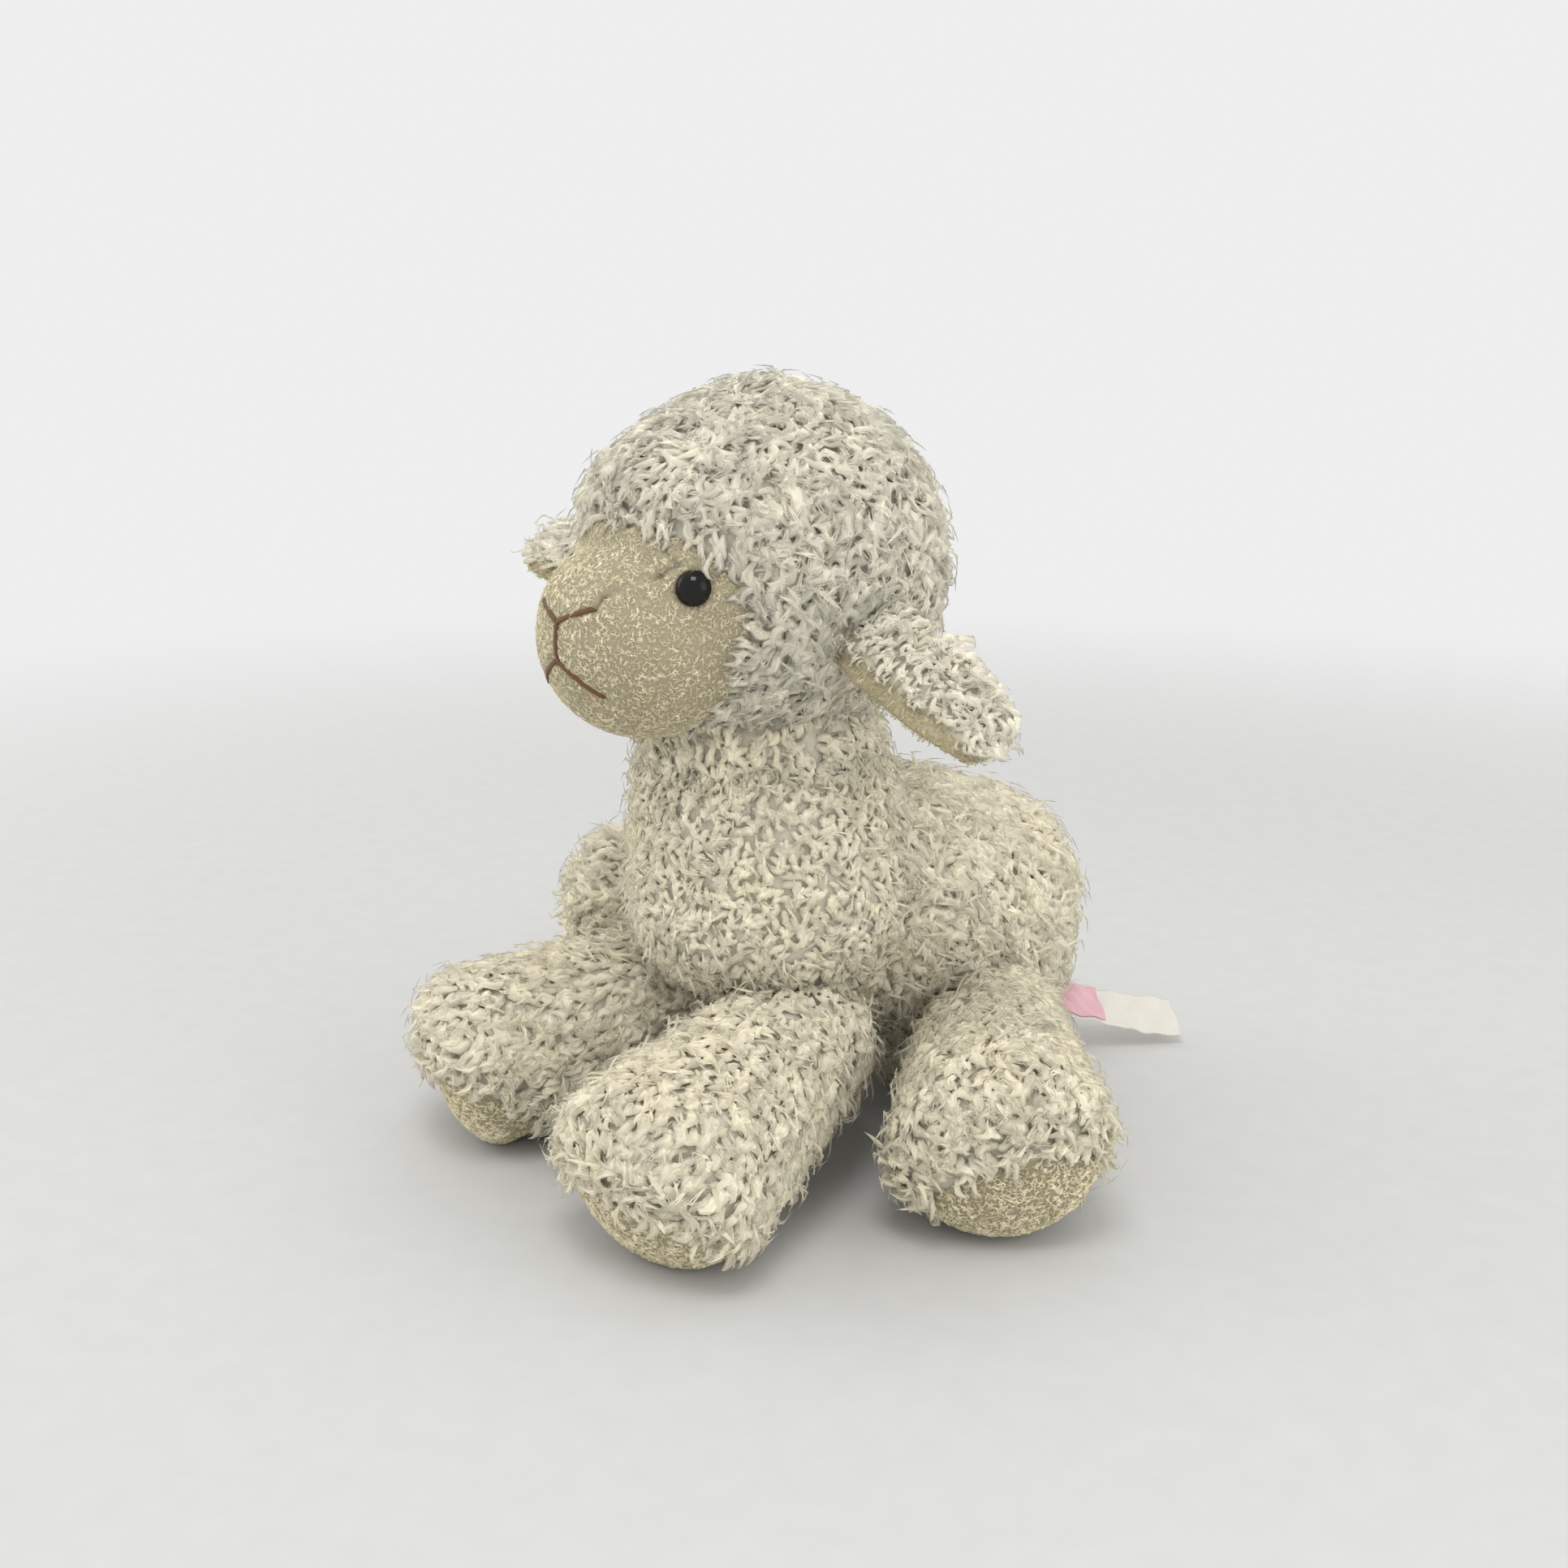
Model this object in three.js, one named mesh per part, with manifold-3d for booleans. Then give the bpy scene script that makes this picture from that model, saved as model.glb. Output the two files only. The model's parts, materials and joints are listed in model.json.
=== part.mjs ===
// Plush sheep that sits with its legs splayed: a curly wool skin over stuffing, with a short-pile face, soles
// and ear linings, button eyes on posts, a stitched nose and mouth, and two labels sewn in under the tail.
// Millimetres, +Z up. The sheep looks along -Y and its left side is +X. The origin is on its flat seat.
import * as THREE from "three";
import { mergeVertices } from "three/addons/utils/BufferGeometryUtils.js";
import Module from "manifold-3d";

const wasm = await Module();
wasm.setup();

// Cloths. A form is given at its backing cloth, and the pile stands out from there.
const WOOL_PILE = 7;
const SUEDE_PILE = 2;
const LAYER_GAP = 0.3;
const SOCKET_GAP = 0.7;
const FLAT_DEPTH = 0.5;

// Facets. The inside of a wool skin and the stuffing in it are coarser than the skin.
const BODY_SIDES = 16;
const TRUNK_STEPS = 4;
const CHEST_STEPS = 2;
const HEAD_SIDES = 18;
const HEAD_STEPS = 4;
const LEG_SIDES = 12;
const LEG_STEPS = 3;
const EAR_SIDES = 10;
const EAR_STEPS = 4;
const DOME_STEPS = 3;
const INSIDE_SIDES = 10;
const INSIDE_STEPS = 2;
const ROUND_SIDES = 12;
const BALL_RINGS = 8;
const NECK_SIDES = 28;
const NECK_RINGS = 14;
const BORE_SIDES = 8;
const THREAD_SIDES = 4;
const THREAD_STEPS = 3;
const CUT_OVERRUN = 800;
const SEATING_STEPS = 4;

// Trunk, from the rump to the shoulders. Heights are of the stuffed core's middle, and the rump's follows
// from its seat on the floor. Places behind the origin are positive.
const RUMP_BACK = 8;
const RUMP_HALF_WIDTH = 36;
const RUMP_HALF_HEIGHT = 50;
const RUMP_DOME = 31;
const BELLY_BACK = -30;
const BELLY_HEIGHT = 72;
const BELLY_HALF_WIDTH = 39;
const BELLY_HALF_HEIGHT = 43;
const SHOULDERS_BACK = -62;
const SHOULDERS_HEIGHT = 84;
const SHOULDERS_HALF_WIDTH = 38;
const SHOULDERS_HALF_HEIGHT = 38;
const SHOULDERS_DOME = 30;

// Chest, from its underside up to the collar
const BREAST_BACK = -79;
const BREAST_HEIGHT = 89;
const BREAST_HALF_WIDTH = 43;
const BREAST_HALF_DEPTH = 41;
const BREAST_DOME = 32;
const COLLAR_BACK = -83;
const COLLAR_DROP = 14;
const COLLAR_HALF_WIDTH = 36;
const COLLAR_HALF_DEPTH = 35;

// Pellet bag in the seat
const PELLET_BAG_HALF_WIDTH = 30;
const PELLET_BAG_HALF_LENGTH = 28;
const PELLET_BAG_HALF_HEIGHT = 24;
const PELLET_BAG_BACK = 6;
const PELLET_BAG_HEIGHT = 5;

// Neck: a stuffed ball that the head and the chest both seat on
const NECK_BACK = -83;
const NECK_HEIGHT = 135;
const NECK_RADIUS = 33;
const NECK_BAND_UP = 22;
const NECK_BAND_DOWN = 24;

// Head, from its middle to the nose, with heights above the neck's middle and places behind it
const CROWN_BACK = 2;
const CROWN_RISE = 61;
const CROWN_HALF_WIDTH = 50;
const CROWN_HALF_HEIGHT = 50;
const CROWN_DOME = 50;
const BROW_BACK = -23;
const BROW_RISE = 53;
const BROW_HALF_WIDTH = 45;
const BROW_HALF_HEIGHT = 45;
const NOSE_BACK = -46;
const NOSE_RISE = 42;
const NOSE_HALF_WIDTH = 32;
const NOSE_HALF_HEIGHT = 29;
const NOSE_DOME = 29;

// Opening of the wool that the face shows in, squarish at the top and open below the chin
const FACE_HALF_WIDTH = 41;
const FACE_TOP = 31;
const FACE_BOTTOM = 60;
const FACE_RISE = 45;
const FACE_BACK = -35;
const FACE_SQUARENESS = 3;
// The bridge of the nose is sewn to the cheeks by seams that pass the eyes, in shares of the eyes' spread
const BRIDGE_NOSE_SHARE = 0.3;
const BRIDGE_BROW_SHARE = 0.62;

// Eyes, with a post through the cloth and a washer behind it
const EYE_DIAMETER = 10.5;
const EYE_DOME = 4;
const EYE_POST_DIAMETER = 4;
const EYE_POST_LENGTH = 13;
const EYE_SPREAD = 28;
const EYE_BACK = -47;
const EYE_RISE = 59;
const WASHER_DIAMETER = 13;
const WASHER_THICKNESS = 1.6;
const WASHER_DEPTH = 3;

// Stitched nose and mouth
const THREAD_DIAMETER = 1.4;
const NOSE_POINT_RISE = 48.5;
const NOSE_ARM_SPREAD = 13;
const NOSE_ARM_RISE = 5;
const LIP_RISE = 38;
const MOUTH_SPREAD = 15;
const MOUTH_DROP = 10;

// Ears, held by a seam that they flap about
const EAR_LENGTH = 56;
const EAR_ROOT_HALF_WIDTH = 8;
const EAR_MID_HALF_WIDTH = 11;
const EAR_TIP_HALF_WIDTH = 8;
const EAR_TIP_DOME = 4;
const EAR_ARCH = 6;
const EAR_WIDENED_SHARE = 0.33;
const EAR_NARROWING_SHARE = 0.67;
const EAR_SEAT_SPREAD = 50;
const EAR_SEAT_BACK = -4;
const EAR_SEAT_RISE = 45;
const EAR_FACE_DEG = 45;
const LEFT_EAR_DROP_DEG = 21;
const LEFT_EAR_SWEEP_DEG = 0;
const RIGHT_EAR_DROP_DEG = -14;
const RIGHT_EAR_SWEEP_DEG = -14;
const EAR_FLAP_DEG = 20;

// Legs, along their own line from the ball that turns in the torso
const LEG_ROOT_RADIUS = 18;
const LEG_CALF_HALF_WIDTH = 23;
const LEG_FOOT_HALF_WIDTH = 28;
const LEG_FOOT_HALF_HEIGHT = 26;
const LEG_TOE_DOME = 14;
const SOLE_OFFSET = 10;
const SOLE_LEAN_DEG = 46;

const FRONT_LEG_LENGTH = 74;
const SHOULDER_SPREAD = 30;
const SHOULDER_BACK = -91;
const FRONT_LEFT_SPLAY_DEG = 16;
const FRONT_RIGHT_SPLAY_DEG = 22;
const FRONT_LEFT_ROLL_DEG = 10;
const FRONT_RIGHT_ROLL_DEG = -25;
const FRONT_LEG_DROP_DEG = 14;
const FRONT_LEG_RAISE_DEG = 25;

const HIND_LEG_LENGTH = 82;
const HIP_SPREAD = 42;
const HIP_BACK = -16;
const RIGHT_HIP_BACK = -21;
const HIND_LEFT_SPLAY_DEG = 47;
const HIND_RIGHT_SPLAY_DEG = 49;
const HIND_LEFT_DROP_DEG = 3;
const HIND_RIGHT_DROP_DEG = -13;
const HIND_LEG_OUT_DEG = 20;
const HIND_LEFT_ROLL_DEG = -20;
const HIND_RIGHT_ROLL_DEG = 0;
const HIND_LEG_IN_DEG = 3;

// Tail
const TAIL_BACK = 36;
const TAIL_HEIGHT = 61;
const TAIL_LENGTH = 16;
const TAIL_HALF_WIDTH = 8;
const TAIL_RISE_DEG = 20;
const TAIL_WAG_DEG = 15;

// Labels, sewn into the rump where the line from its middle to a named place leaves the wool
const LABEL_THICKNESS = 0.6;
const LABEL_WIDTH = 20;
const LABEL_LENGTH = 72;
const TOP_LABEL_WIDTH = 17;
const TOP_LABEL_LENGTH = 38;
const LABEL_SIDE = 4;
const LABEL_BACK = 42;
const LABEL_HEIGHT = 20;
const LABEL_TURN_DEG = -25;
const LABEL_DROP_DEG = 15;
const LABEL_ROLL_DEG = 25;

const radians = THREE.MathUtils.degToRad;
const left = 1;
const right = -1;

const cloth = (color, roughness) => new THREE.MeshStandardMaterial({ color, roughness, metalness: 0 });
const wool = cloth(0xe6dfcd, 0.95);
const suede = cloth(0xcdbb93, 0.95);
const stuffing = cloth(0xf3f2ee, 1);
const pellets = cloth(0xd9d9d4, 0.9);
const button = cloth(0x0b0b0c, 0.12);
const washer = cloth(0xe8e6dd, 0.5);
const floss = cloth(0x7c4a2d, 0.7);
const satin = cloth(0xebe6d8, 0.45);
const pink = cloth(0xf0a9b8, 0.55);

// Turns a closed geometry into a solid that can be cut and joined.
function solidFrom(geometry) {
  const bare = new THREE.BufferGeometry();
  bare.setAttribute("position", geometry.getAttribute("position"));
  bare.setIndex(geometry.getIndex());
  const merged = mergeVertices(bare);
  return new wasm.Manifold(
    new wasm.Mesh({
      numProp: 3,
      vertProperties: merged.getAttribute("position").array,
      triVerts: new Uint32Array(merged.getIndex().array),
    }),
  );
}

// Turns a solid back into a geometry with flat faces.
function geometryFrom(solid) {
  const { vertProperties, triVerts } = solid.getMesh();
  const geometry = new THREE.BufferGeometry();
  geometry.setAttribute("position", new THREE.BufferAttribute(vertProperties.slice(), 3));
  geometry.setIndex(new THREE.BufferAttribute(triVerts.slice(), 1));
  const faceted = geometry.toNonIndexed();
  faceted.computeVertexNormals();
  return faceted;
}

const moved = (solid, matrix) => solid.transform([...matrix.elements]);
const joined = (solids) => solids.reduce((all, one) => all.add(one));

// Joins the places that a limb swings through, without the facets that are smaller than the gap it keeps.
const sweptRoom = (solids) => joined(solids).asOriginal().simplify(SOCKET_GAP / 2);

// A stuffed form round a smooth line in the YZ plane, domed at both ends. Each stop holds the line's y and z
// and the form's half width and half height. The form is grown by out. The shares scale its upper half and
// its lower half.
function stuffedForm({ stops, startDome, endDome, sides, steps, upperShare = 1, lowerShare = 1 }, out) {
  const line = new THREE.CatmullRomCurve3(stops.map(([y, z]) => new THREE.Vector3(0, y, z)));
  const sizes = new THREE.CatmullRomCurve3(stops.map(([, , w, h]) => new THREE.Vector3(w, h, 0)));
  const rings = [];
  const addRing = (t, depth, angle) => {
    const center = line.getPoint(t).addScaledVector(line.getTangent(t), depth * Math.cos(angle));
    rings.push({ t, center, swell: Math.sin(angle) });
  };
  const upright = Math.PI / 2;
  for (let k = 0; k < DOME_STEPS; k++) addRing(0, -startDome - out, upright * (k / DOME_STEPS));
  for (let i = 0; i <= steps; i++) addRing(i / steps, 0, upright);
  for (let k = DOME_STEPS - 1; k >= 0; k--) addRing(1, endDome + out, upright * (k / DOME_STEPS));

  const across = new THREE.Vector3(1, 0, 0);
  const points = [];
  for (const { t, center, swell } of rings) {
    if (swell === 0) {
      points.push(center);
      continue;
    }
    const up = line.getTangent(t).cross(across);
    const size = sizes.getPoint(t);
    for (let j = 0; j < sides; j++) {
      const angle = (2 * Math.PI * j) / sides;
      const share = Math.sin(angle) > 0 ? upperShare : lowerShare;
      const point = center.clone();
      point.addScaledVector(across, (size.x + out) * swell * Math.cos(angle));
      point.addScaledVector(up, (size.y + out) * swell * share * Math.sin(angle));
      points.push(point);
    }
  }
  const faces = [];
  const ringCount = rings.length - 2;
  const at = (i, j) => 1 + i * sides + (j % sides);
  const last = points.length - 1;
  for (let j = 0; j < sides; j++) {
    faces.push(0, at(0, j + 1), at(0, j));
    for (let i = 0; i < ringCount - 1; i++) {
      faces.push(at(i, j), at(i, j + 1), at(i + 1, j + 1));
      faces.push(at(i, j), at(i + 1, j + 1), at(i + 1, j));
    }
    faces.push(last, at(ringCount - 1, j), at(ringCount - 1, j + 1));
  }
  const geometry = new THREE.BufferGeometry().setFromPoints(points);
  geometry.setIndex(faces);
  return solidFrom(geometry);
}

// The backing cloth of a form, and the stuffing that ends a gap inside it.
const backing = (form, gap) => stuffedForm({ ...form, sides: INSIDE_SIDES, steps: INSIDE_STEPS }, -gap);

function egg(center, halfWidth, halfLength, halfHeight) {
  const geometry = new THREE.SphereGeometry(1, ROUND_SIDES, BALL_RINGS);
  geometry.scale(halfWidth, halfLength, halfHeight);
  return solidFrom(geometry.translate(center.x, center.y, center.z));
}

function ball(center, radius, sides = ROUND_SIDES, rings = BALL_RINGS) {
  const geometry = new THREE.SphereGeometry(radius, sides, rings);
  return solidFrom(geometry.translate(center.x, center.y, center.z));
}

// The whole space on one side of a plane across an axis, as a block much larger than the sheep.
function spaceBeyond(axis, way, level) {
  const block = new THREE.BoxGeometry(CUT_OVERRUN, CUT_OVERRUN, CUT_OVERRUN);
  const shift = new THREE.Vector3().setComponent("xyz".indexOf(axis), way * (CUT_OVERRUN / 2) + level);
  return solidFrom(block.translate(shift.x, shift.y, shift.z));
}

// A prism much longer than the sheep, from an outline of points.
const extruded = (outline) =>
  new THREE.ExtrudeGeometry(new THREE.Shape(outline), { depth: CUT_OVERRUN, bevelEnabled: false });

const spaceBelow = (level) => spaceBeyond("z", -1, level);
const spaceAbove = (level) => spaceBeyond("z", 1, level);
const spaceBeside = (side, gap) => spaceBeyond("x", side, side * gap);
const cutByFloor = (solid) => solid.subtract(spaceBelow(0));

// Hangs a solid, given in the sheep's own frame, in a group as a named mesh.
function hang(group, name, solid, material) {
  group.updateWorldMatrix(true, false);
  const local = moved(solid, group.matrixWorld.clone().invert());
  const mesh = new THREE.Mesh(geometryFrom(local), material);
  mesh.name = name;
  group.add(mesh);
}

// A place in the sheep's frame whose own line runs along -Y: rolled about it, dropped, then turned about Z.
function placeAt(position, { roll = 0, drop = 0, turn = 0 }) {
  const group = new THREE.Group();
  group.position.copy(position);
  group.rotation.set(radians(drop), radians(roll), radians(turn), "ZXY");
  group.updateMatrixWorld(true);
  return group;
}

// How far a solid has to rise for the floor to cut it by the depth of its flat.
const riseToFloor = (solid) => -FLAT_DEPTH - solid.boundingBox().min[2];

// Adds a place to a parent without moving it in the sheep's frame.
function addPlaced(parent, group) {
  parent.attach(group);
  return group;
}

// Legs

const frontLeg = {
  front: true,
  length: FRONT_LEG_LENGTH,
  spread: SHOULDER_SPREAD,
  back: SHOULDER_BACK,
  drop: FRONT_LEG_DROP_DEG,
};
const hindLeg = { front: false, length: HIND_LEG_LENGTH, spread: HIP_SPREAD, back: HIP_BACK };
const LEGS = [
  {
    ...frontLeg,
    name: "front_left_leg",
    side: left,
    splay: FRONT_LEFT_SPLAY_DEG,
    roll: FRONT_LEFT_ROLL_DEG,
  },
  {
    ...frontLeg,
    name: "front_right_leg",
    side: right,
    splay: FRONT_RIGHT_SPLAY_DEG,
    roll: FRONT_RIGHT_ROLL_DEG,
  },
  {
    ...hindLeg,
    name: "hind_left_leg",
    side: left,
    splay: HIND_LEFT_SPLAY_DEG,
    roll: HIND_LEFT_ROLL_DEG,
    drop: HIND_LEFT_DROP_DEG,
  },
  {
    ...hindLeg,
    name: "hind_right_leg",
    side: right,
    back: RIGHT_HIP_BACK,
    splay: HIND_RIGHT_SPLAY_DEG,
    roll: HIND_RIGHT_ROLL_DEG,
    drop: HIND_RIGHT_DROP_DEG,
  },
];

const legForm = (leg) => ({
  stops: [
    [0, 0, LEG_ROOT_RADIUS, LEG_ROOT_RADIUS],
    [-leg.length / 2, 0, LEG_CALF_HALF_WIDTH, LEG_CALF_HALF_WIDTH],
    [-leg.length, 0, LEG_FOOT_HALF_WIDTH, LEG_FOOT_HALF_HEIGHT],
  ],
  startDome: LEG_ROOT_RADIUS,
  endDome: LEG_TOE_DOME,
  sides: LEG_SIDES,
  steps: LEG_STEPS,
});

// The sole closes the end of the foot, which a leaning plane cuts off.
function soleSpace(leg, gap) {
  const block = new THREE.BoxGeometry(CUT_OVERRUN, CUT_OVERRUN, CUT_OVERRUN);
  block.translate(0, -CUT_OVERRUN / 2 - SOLE_OFFSET + gap, 0);
  block.rotateX(radians(SOLE_LEAN_DEG));
  return solidFrom(block.translate(0, -leg.length, 0));
}

const legSkin = (leg) => stuffedForm(legForm(leg), WOOL_PILE).subtract(soleSpace(leg, LAYER_GAP));
const legSole = (leg) => stuffedForm(legForm(leg), SUEDE_PILE).intersect(soleSpace(leg, 0));

// The height of a leg's root at which its foot rests on the floor. Both legs of a pair share it.
function rootHeight(leg) {
  const { matrixWorld } = placeAt(new THREE.Vector3(), { roll: leg.roll, drop: leg.drop });
  return riseToFloor(moved(legSkin(leg).add(legSole(leg)), matrixWorld));
}

const pairHeight = (front) => Math.max(...LEGS.filter((leg) => leg.front === front).map(rootHeight));
const shoulderHeight = pairHeight(true);
const hipHeight = pairHeight(false);

// Front legs lift and hind legs splay, by a swing from rest in degrees.
function legPlace(leg, swing) {
  const { side, front, splay, drop, roll } = leg;
  const root = new THREE.Vector3(side * leg.spread, leg.back, front ? shoulderHeight : hipHeight);
  if (front) return placeAt(root, { roll, drop: drop - swing, turn: side * splay });
  return placeAt(root, { roll, drop, turn: side * (splay + swing) });
}

// Everywhere that a leg goes between its limits, with the gap that it keeps.
function legRoom(leg) {
  const swings = leg.front
    ? [0, FRONT_LEG_RAISE_DEG / 2, FRONT_LEG_RAISE_DEG]
    : [-HIND_LEG_IN_DEG, 0, HIND_LEG_OUT_DEG];
  const upperLeg = { ...legForm(leg), stops: legForm(leg).stops.slice(0, 2), steps: 1 };
  const form = stuffedForm(upperLeg, WOOL_PILE + SOCKET_GAP);
  const root = legPlace(leg, 0).position;
  const socket = ball(root, LEG_ROOT_RADIUS + WOOL_PILE + 2 * SOCKET_GAP);
  return sweptRoom([socket, ...swings.map((swing) => moved(form, legPlace(leg, swing).matrixWorld))]);
}

function buildLeg(parent, leg) {
  const group = addPlaced(parent, legPlace(leg, 0));
  const place = group.matrixWorld;
  const inside = backing(legForm(leg), 0);
  hang(group, `${leg.name}_wool`, cutByFloor(moved(legSkin(leg).subtract(inside), place)), wool);
  hang(group, `${leg.name}_sole`, cutByFloor(moved(legSole(leg).subtract(inside), place)), suede);
  hang(group, `${leg.name}_stuffing`, moved(backing(legForm(leg), LAYER_GAP), place), stuffing);
}

// Tail

const tailForm = {
  stops: [
    [0, 0, TAIL_HALF_WIDTH, TAIL_HALF_WIDTH],
    [-TAIL_LENGTH, 0, TAIL_HALF_WIDTH, TAIL_HALF_WIDTH],
  ],
  startDome: TAIL_HALF_WIDTH,
  endDome: TAIL_HALF_WIDTH,
  sides: EAR_SIDES,
  steps: 1,
};

const halfTurnDeg = 180;
const tailPlace = (swing) =>
  placeAt(new THREE.Vector3(0, TAIL_BACK, TAIL_HEIGHT), { drop: -TAIL_RISE_DEG - swing, turn: halfTurnDeg });

function tailRoom() {
  const form = stuffedForm(tailForm, WOOL_PILE + SOCKET_GAP);
  const swings = [-TAIL_WAG_DEG, 0, TAIL_WAG_DEG];
  return sweptRoom(swings.map((swing) => moved(form, tailPlace(swing).matrixWorld)));
}

function buildTail(parent) {
  const group = addPlaced(parent, tailPlace(0));
  hang(group, "tail_wool", moved(stuffedForm(tailForm, WOOL_PILE), group.matrixWorld), wool);
}

// Torso

const neckMiddle = new THREE.Vector3(0, NECK_BACK, NECK_HEIGHT);
const neckOuter = NECK_RADIUS + WOOL_PILE;
const neckBall = () => ball(neckMiddle, neckOuter, NECK_SIDES, NECK_RINGS);

// The seat that the neck turns in. Its flats clear the ball's corners, however it is turned.
function neckSeat() {
  const cornerShare = Math.cos(Math.PI / NECK_SIDES) * Math.cos(Math.PI / (2 * NECK_RINGS));
  return ball(neckMiddle, (neckOuter + LAYER_GAP) / cornerShare, NECK_SIDES, NECK_RINGS);
}

const collarHeight = NECK_HEIGHT - COLLAR_DROP;

const trunkAt = (rumpHeight) => ({
  stops: [
    [RUMP_BACK, rumpHeight, RUMP_HALF_WIDTH, RUMP_HALF_HEIGHT],
    [BELLY_BACK, BELLY_HEIGHT, BELLY_HALF_WIDTH, BELLY_HALF_HEIGHT],
    [SHOULDERS_BACK, SHOULDERS_HEIGHT, SHOULDERS_HALF_WIDTH, SHOULDERS_HALF_HEIGHT],
  ],
  startDome: RUMP_DOME,
  endDome: SHOULDERS_DOME,
  sides: BODY_SIDES,
  steps: TRUNK_STEPS,
});

// The rump rises until the floor cuts its pile by the depth of the flat that the sheep sits on.
function seatedRumpHeight() {
  let height = RUMP_HALF_HEIGHT;
  for (let k = 0; k < SEATING_STEPS; k++) height += riseToFloor(stuffedForm(trunkAt(height), WOOL_PILE));
  return height;
}

const rumpHeight = seatedRumpHeight();
const trunkForm = trunkAt(rumpHeight);

const chestForm = {
  stops: [
    [BREAST_BACK, BREAST_HEIGHT, BREAST_HALF_WIDTH, BREAST_HALF_DEPTH],
    [COLLAR_BACK, collarHeight, COLLAR_HALF_WIDTH, COLLAR_HALF_DEPTH],
  ],
  startDome: BREAST_DOME,
  endDome: COLLAR_HALF_DEPTH,
  sides: BODY_SIDES,
  steps: CHEST_STEPS,
};

const torsoOutside = () => stuffedForm(trunkForm, WOOL_PILE).add(stuffedForm(chestForm, WOOL_PILE));
const torsoBacking = (gap) => backing(trunkForm, gap).add(backing(chestForm, gap));

function buildTorso(parent) {
  const torso = new THREE.Group();
  parent.add(torso);
  const rooms = joined([
    ...LEGS.map(legRoom),
    tailRoom(),
    neckSeat(),
    spaceAbove(collarHeight),
  ]);
  const bagMiddle = new THREE.Vector3(0, PELLET_BAG_BACK, PELLET_BAG_HEIGHT);
  const bagSpace = (gap) =>
    egg(bagMiddle, PELLET_BAG_HALF_WIDTH + gap, PELLET_BAG_HALF_LENGTH + gap, PELLET_BAG_HALF_HEIGHT + gap);
  const core = torsoBacking(LAYER_GAP).subtract(rooms);
  const skin = torsoOutside().subtract(torsoBacking(0)).subtract(rooms);
  hang(torso, "body_wool", cutByFloor(skin), wool);
  hang(torso, "body_stuffing", core.subtract(bagSpace(LAYER_GAP)), stuffing);
  hang(torso, "pellet_bag", core.intersect(bagSpace(0)), pellets);
  return torso;
}

// Neck

function buildNeck(parent) {
  const group = addPlaced(parent, placeAt(neckMiddle, {}));
  const outer = neckBall();
  const insideBand = (gap) =>
    joined([
      ball(neckMiddle, NECK_RADIUS - gap),
      spaceAbove(NECK_HEIGHT + NECK_BAND_UP + gap),
      spaceBelow(NECK_HEIGHT - NECK_BAND_DOWN - gap),
    ]);
  hang(group, "neck_wool", outer.subtract(insideBand(0)), wool);
  hang(group, "neck_stuffing", outer.intersect(insideBand(LAYER_GAP)), stuffing);
  return group;
}

// Ears

const earForm = (upperShare, lowerShare, lift) => ({
  stops: [
    [0, lift, EAR_ROOT_HALF_WIDTH, 0],
    [-EAR_LENGTH * EAR_WIDENED_SHARE, lift + EAR_ARCH / 2, EAR_MID_HALF_WIDTH, 0],
    [-EAR_LENGTH * EAR_NARROWING_SHARE, lift + EAR_ARCH / 2, EAR_MID_HALF_WIDTH, 0],
    [-EAR_LENGTH, lift - EAR_ARCH / 2, EAR_TIP_HALF_WIDTH, 0],
  ],
  startDome: 0,
  endDome: EAR_TIP_DOME,
  sides: EAR_SIDES,
  steps: EAR_STEPS,
  upperShare,
  lowerShare,
});

function earPlace(side) {
  const back = NECK_BACK + EAR_SEAT_BACK;
  const seat = new THREE.Vector3(side * EAR_SEAT_SPREAD, back, NECK_HEIGHT + EAR_SEAT_RISE);
  const drop = side === left ? LEFT_EAR_DROP_DEG : RIGHT_EAR_DROP_DEG;
  const sweep = side === left ? LEFT_EAR_SWEEP_DEG : RIGHT_EAR_SWEEP_DEG;
  return placeAt(seat, { roll: -side * EAR_FACE_DEG, drop, turn: side * (halfTurnDeg / 2 + sweep) });
}

// The ear flaps about the line of its seam, which is its own X axis.
function earRoom(side) {
  const place = earPlace(side).matrixWorld;
  const earRoot = { ...earForm(1, 1, 0), stops: earForm(1, 1, 0).stops.slice(0, 2), steps: 1 };
  const form = stuffedForm(earRoot, WOOL_PILE + SOCKET_GAP);
  const flaps = [-EAR_FLAP_DEG, -EAR_FLAP_DEG / 2, 0, EAR_FLAP_DEG / 2, EAR_FLAP_DEG];
  const turned = (flap) => place.clone().multiply(new THREE.Matrix4().makeRotationX(radians(flap)));
  return sweptRoom(flaps.map((flap) => moved(form, turned(flap))));
}

function buildEar(parent, side) {
  const group = addPlaced(parent, earPlace(side));
  const place = group.matrixWorld;
  const word = side === left ? "left" : "right";
  hang(group, `${word}_ear_wool`, moved(stuffedForm(earForm(1, 0, 0), WOOL_PILE), place), wool);
  hang(group, `${word}_ear_lining`, moved(stuffedForm(earForm(0, 1, -LAYER_GAP), SUEDE_PILE), place), suede);
}

// Head

const headForm = {
  stops: [
    [NECK_BACK + CROWN_BACK, NECK_HEIGHT + CROWN_RISE, CROWN_HALF_WIDTH, CROWN_HALF_HEIGHT],
    [NECK_BACK + BROW_BACK, NECK_HEIGHT + BROW_RISE, BROW_HALF_WIDTH, BROW_HALF_HEIGHT],
    [NECK_BACK + NOSE_BACK, NECK_HEIGHT + NOSE_RISE, NOSE_HALF_WIDTH, NOSE_HALF_HEIGHT],
  ],
  startDome: CROWN_DOME,
  endDome: NOSE_DOME,
  sides: HEAD_SIDES,
  steps: HEAD_STEPS,
};

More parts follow.
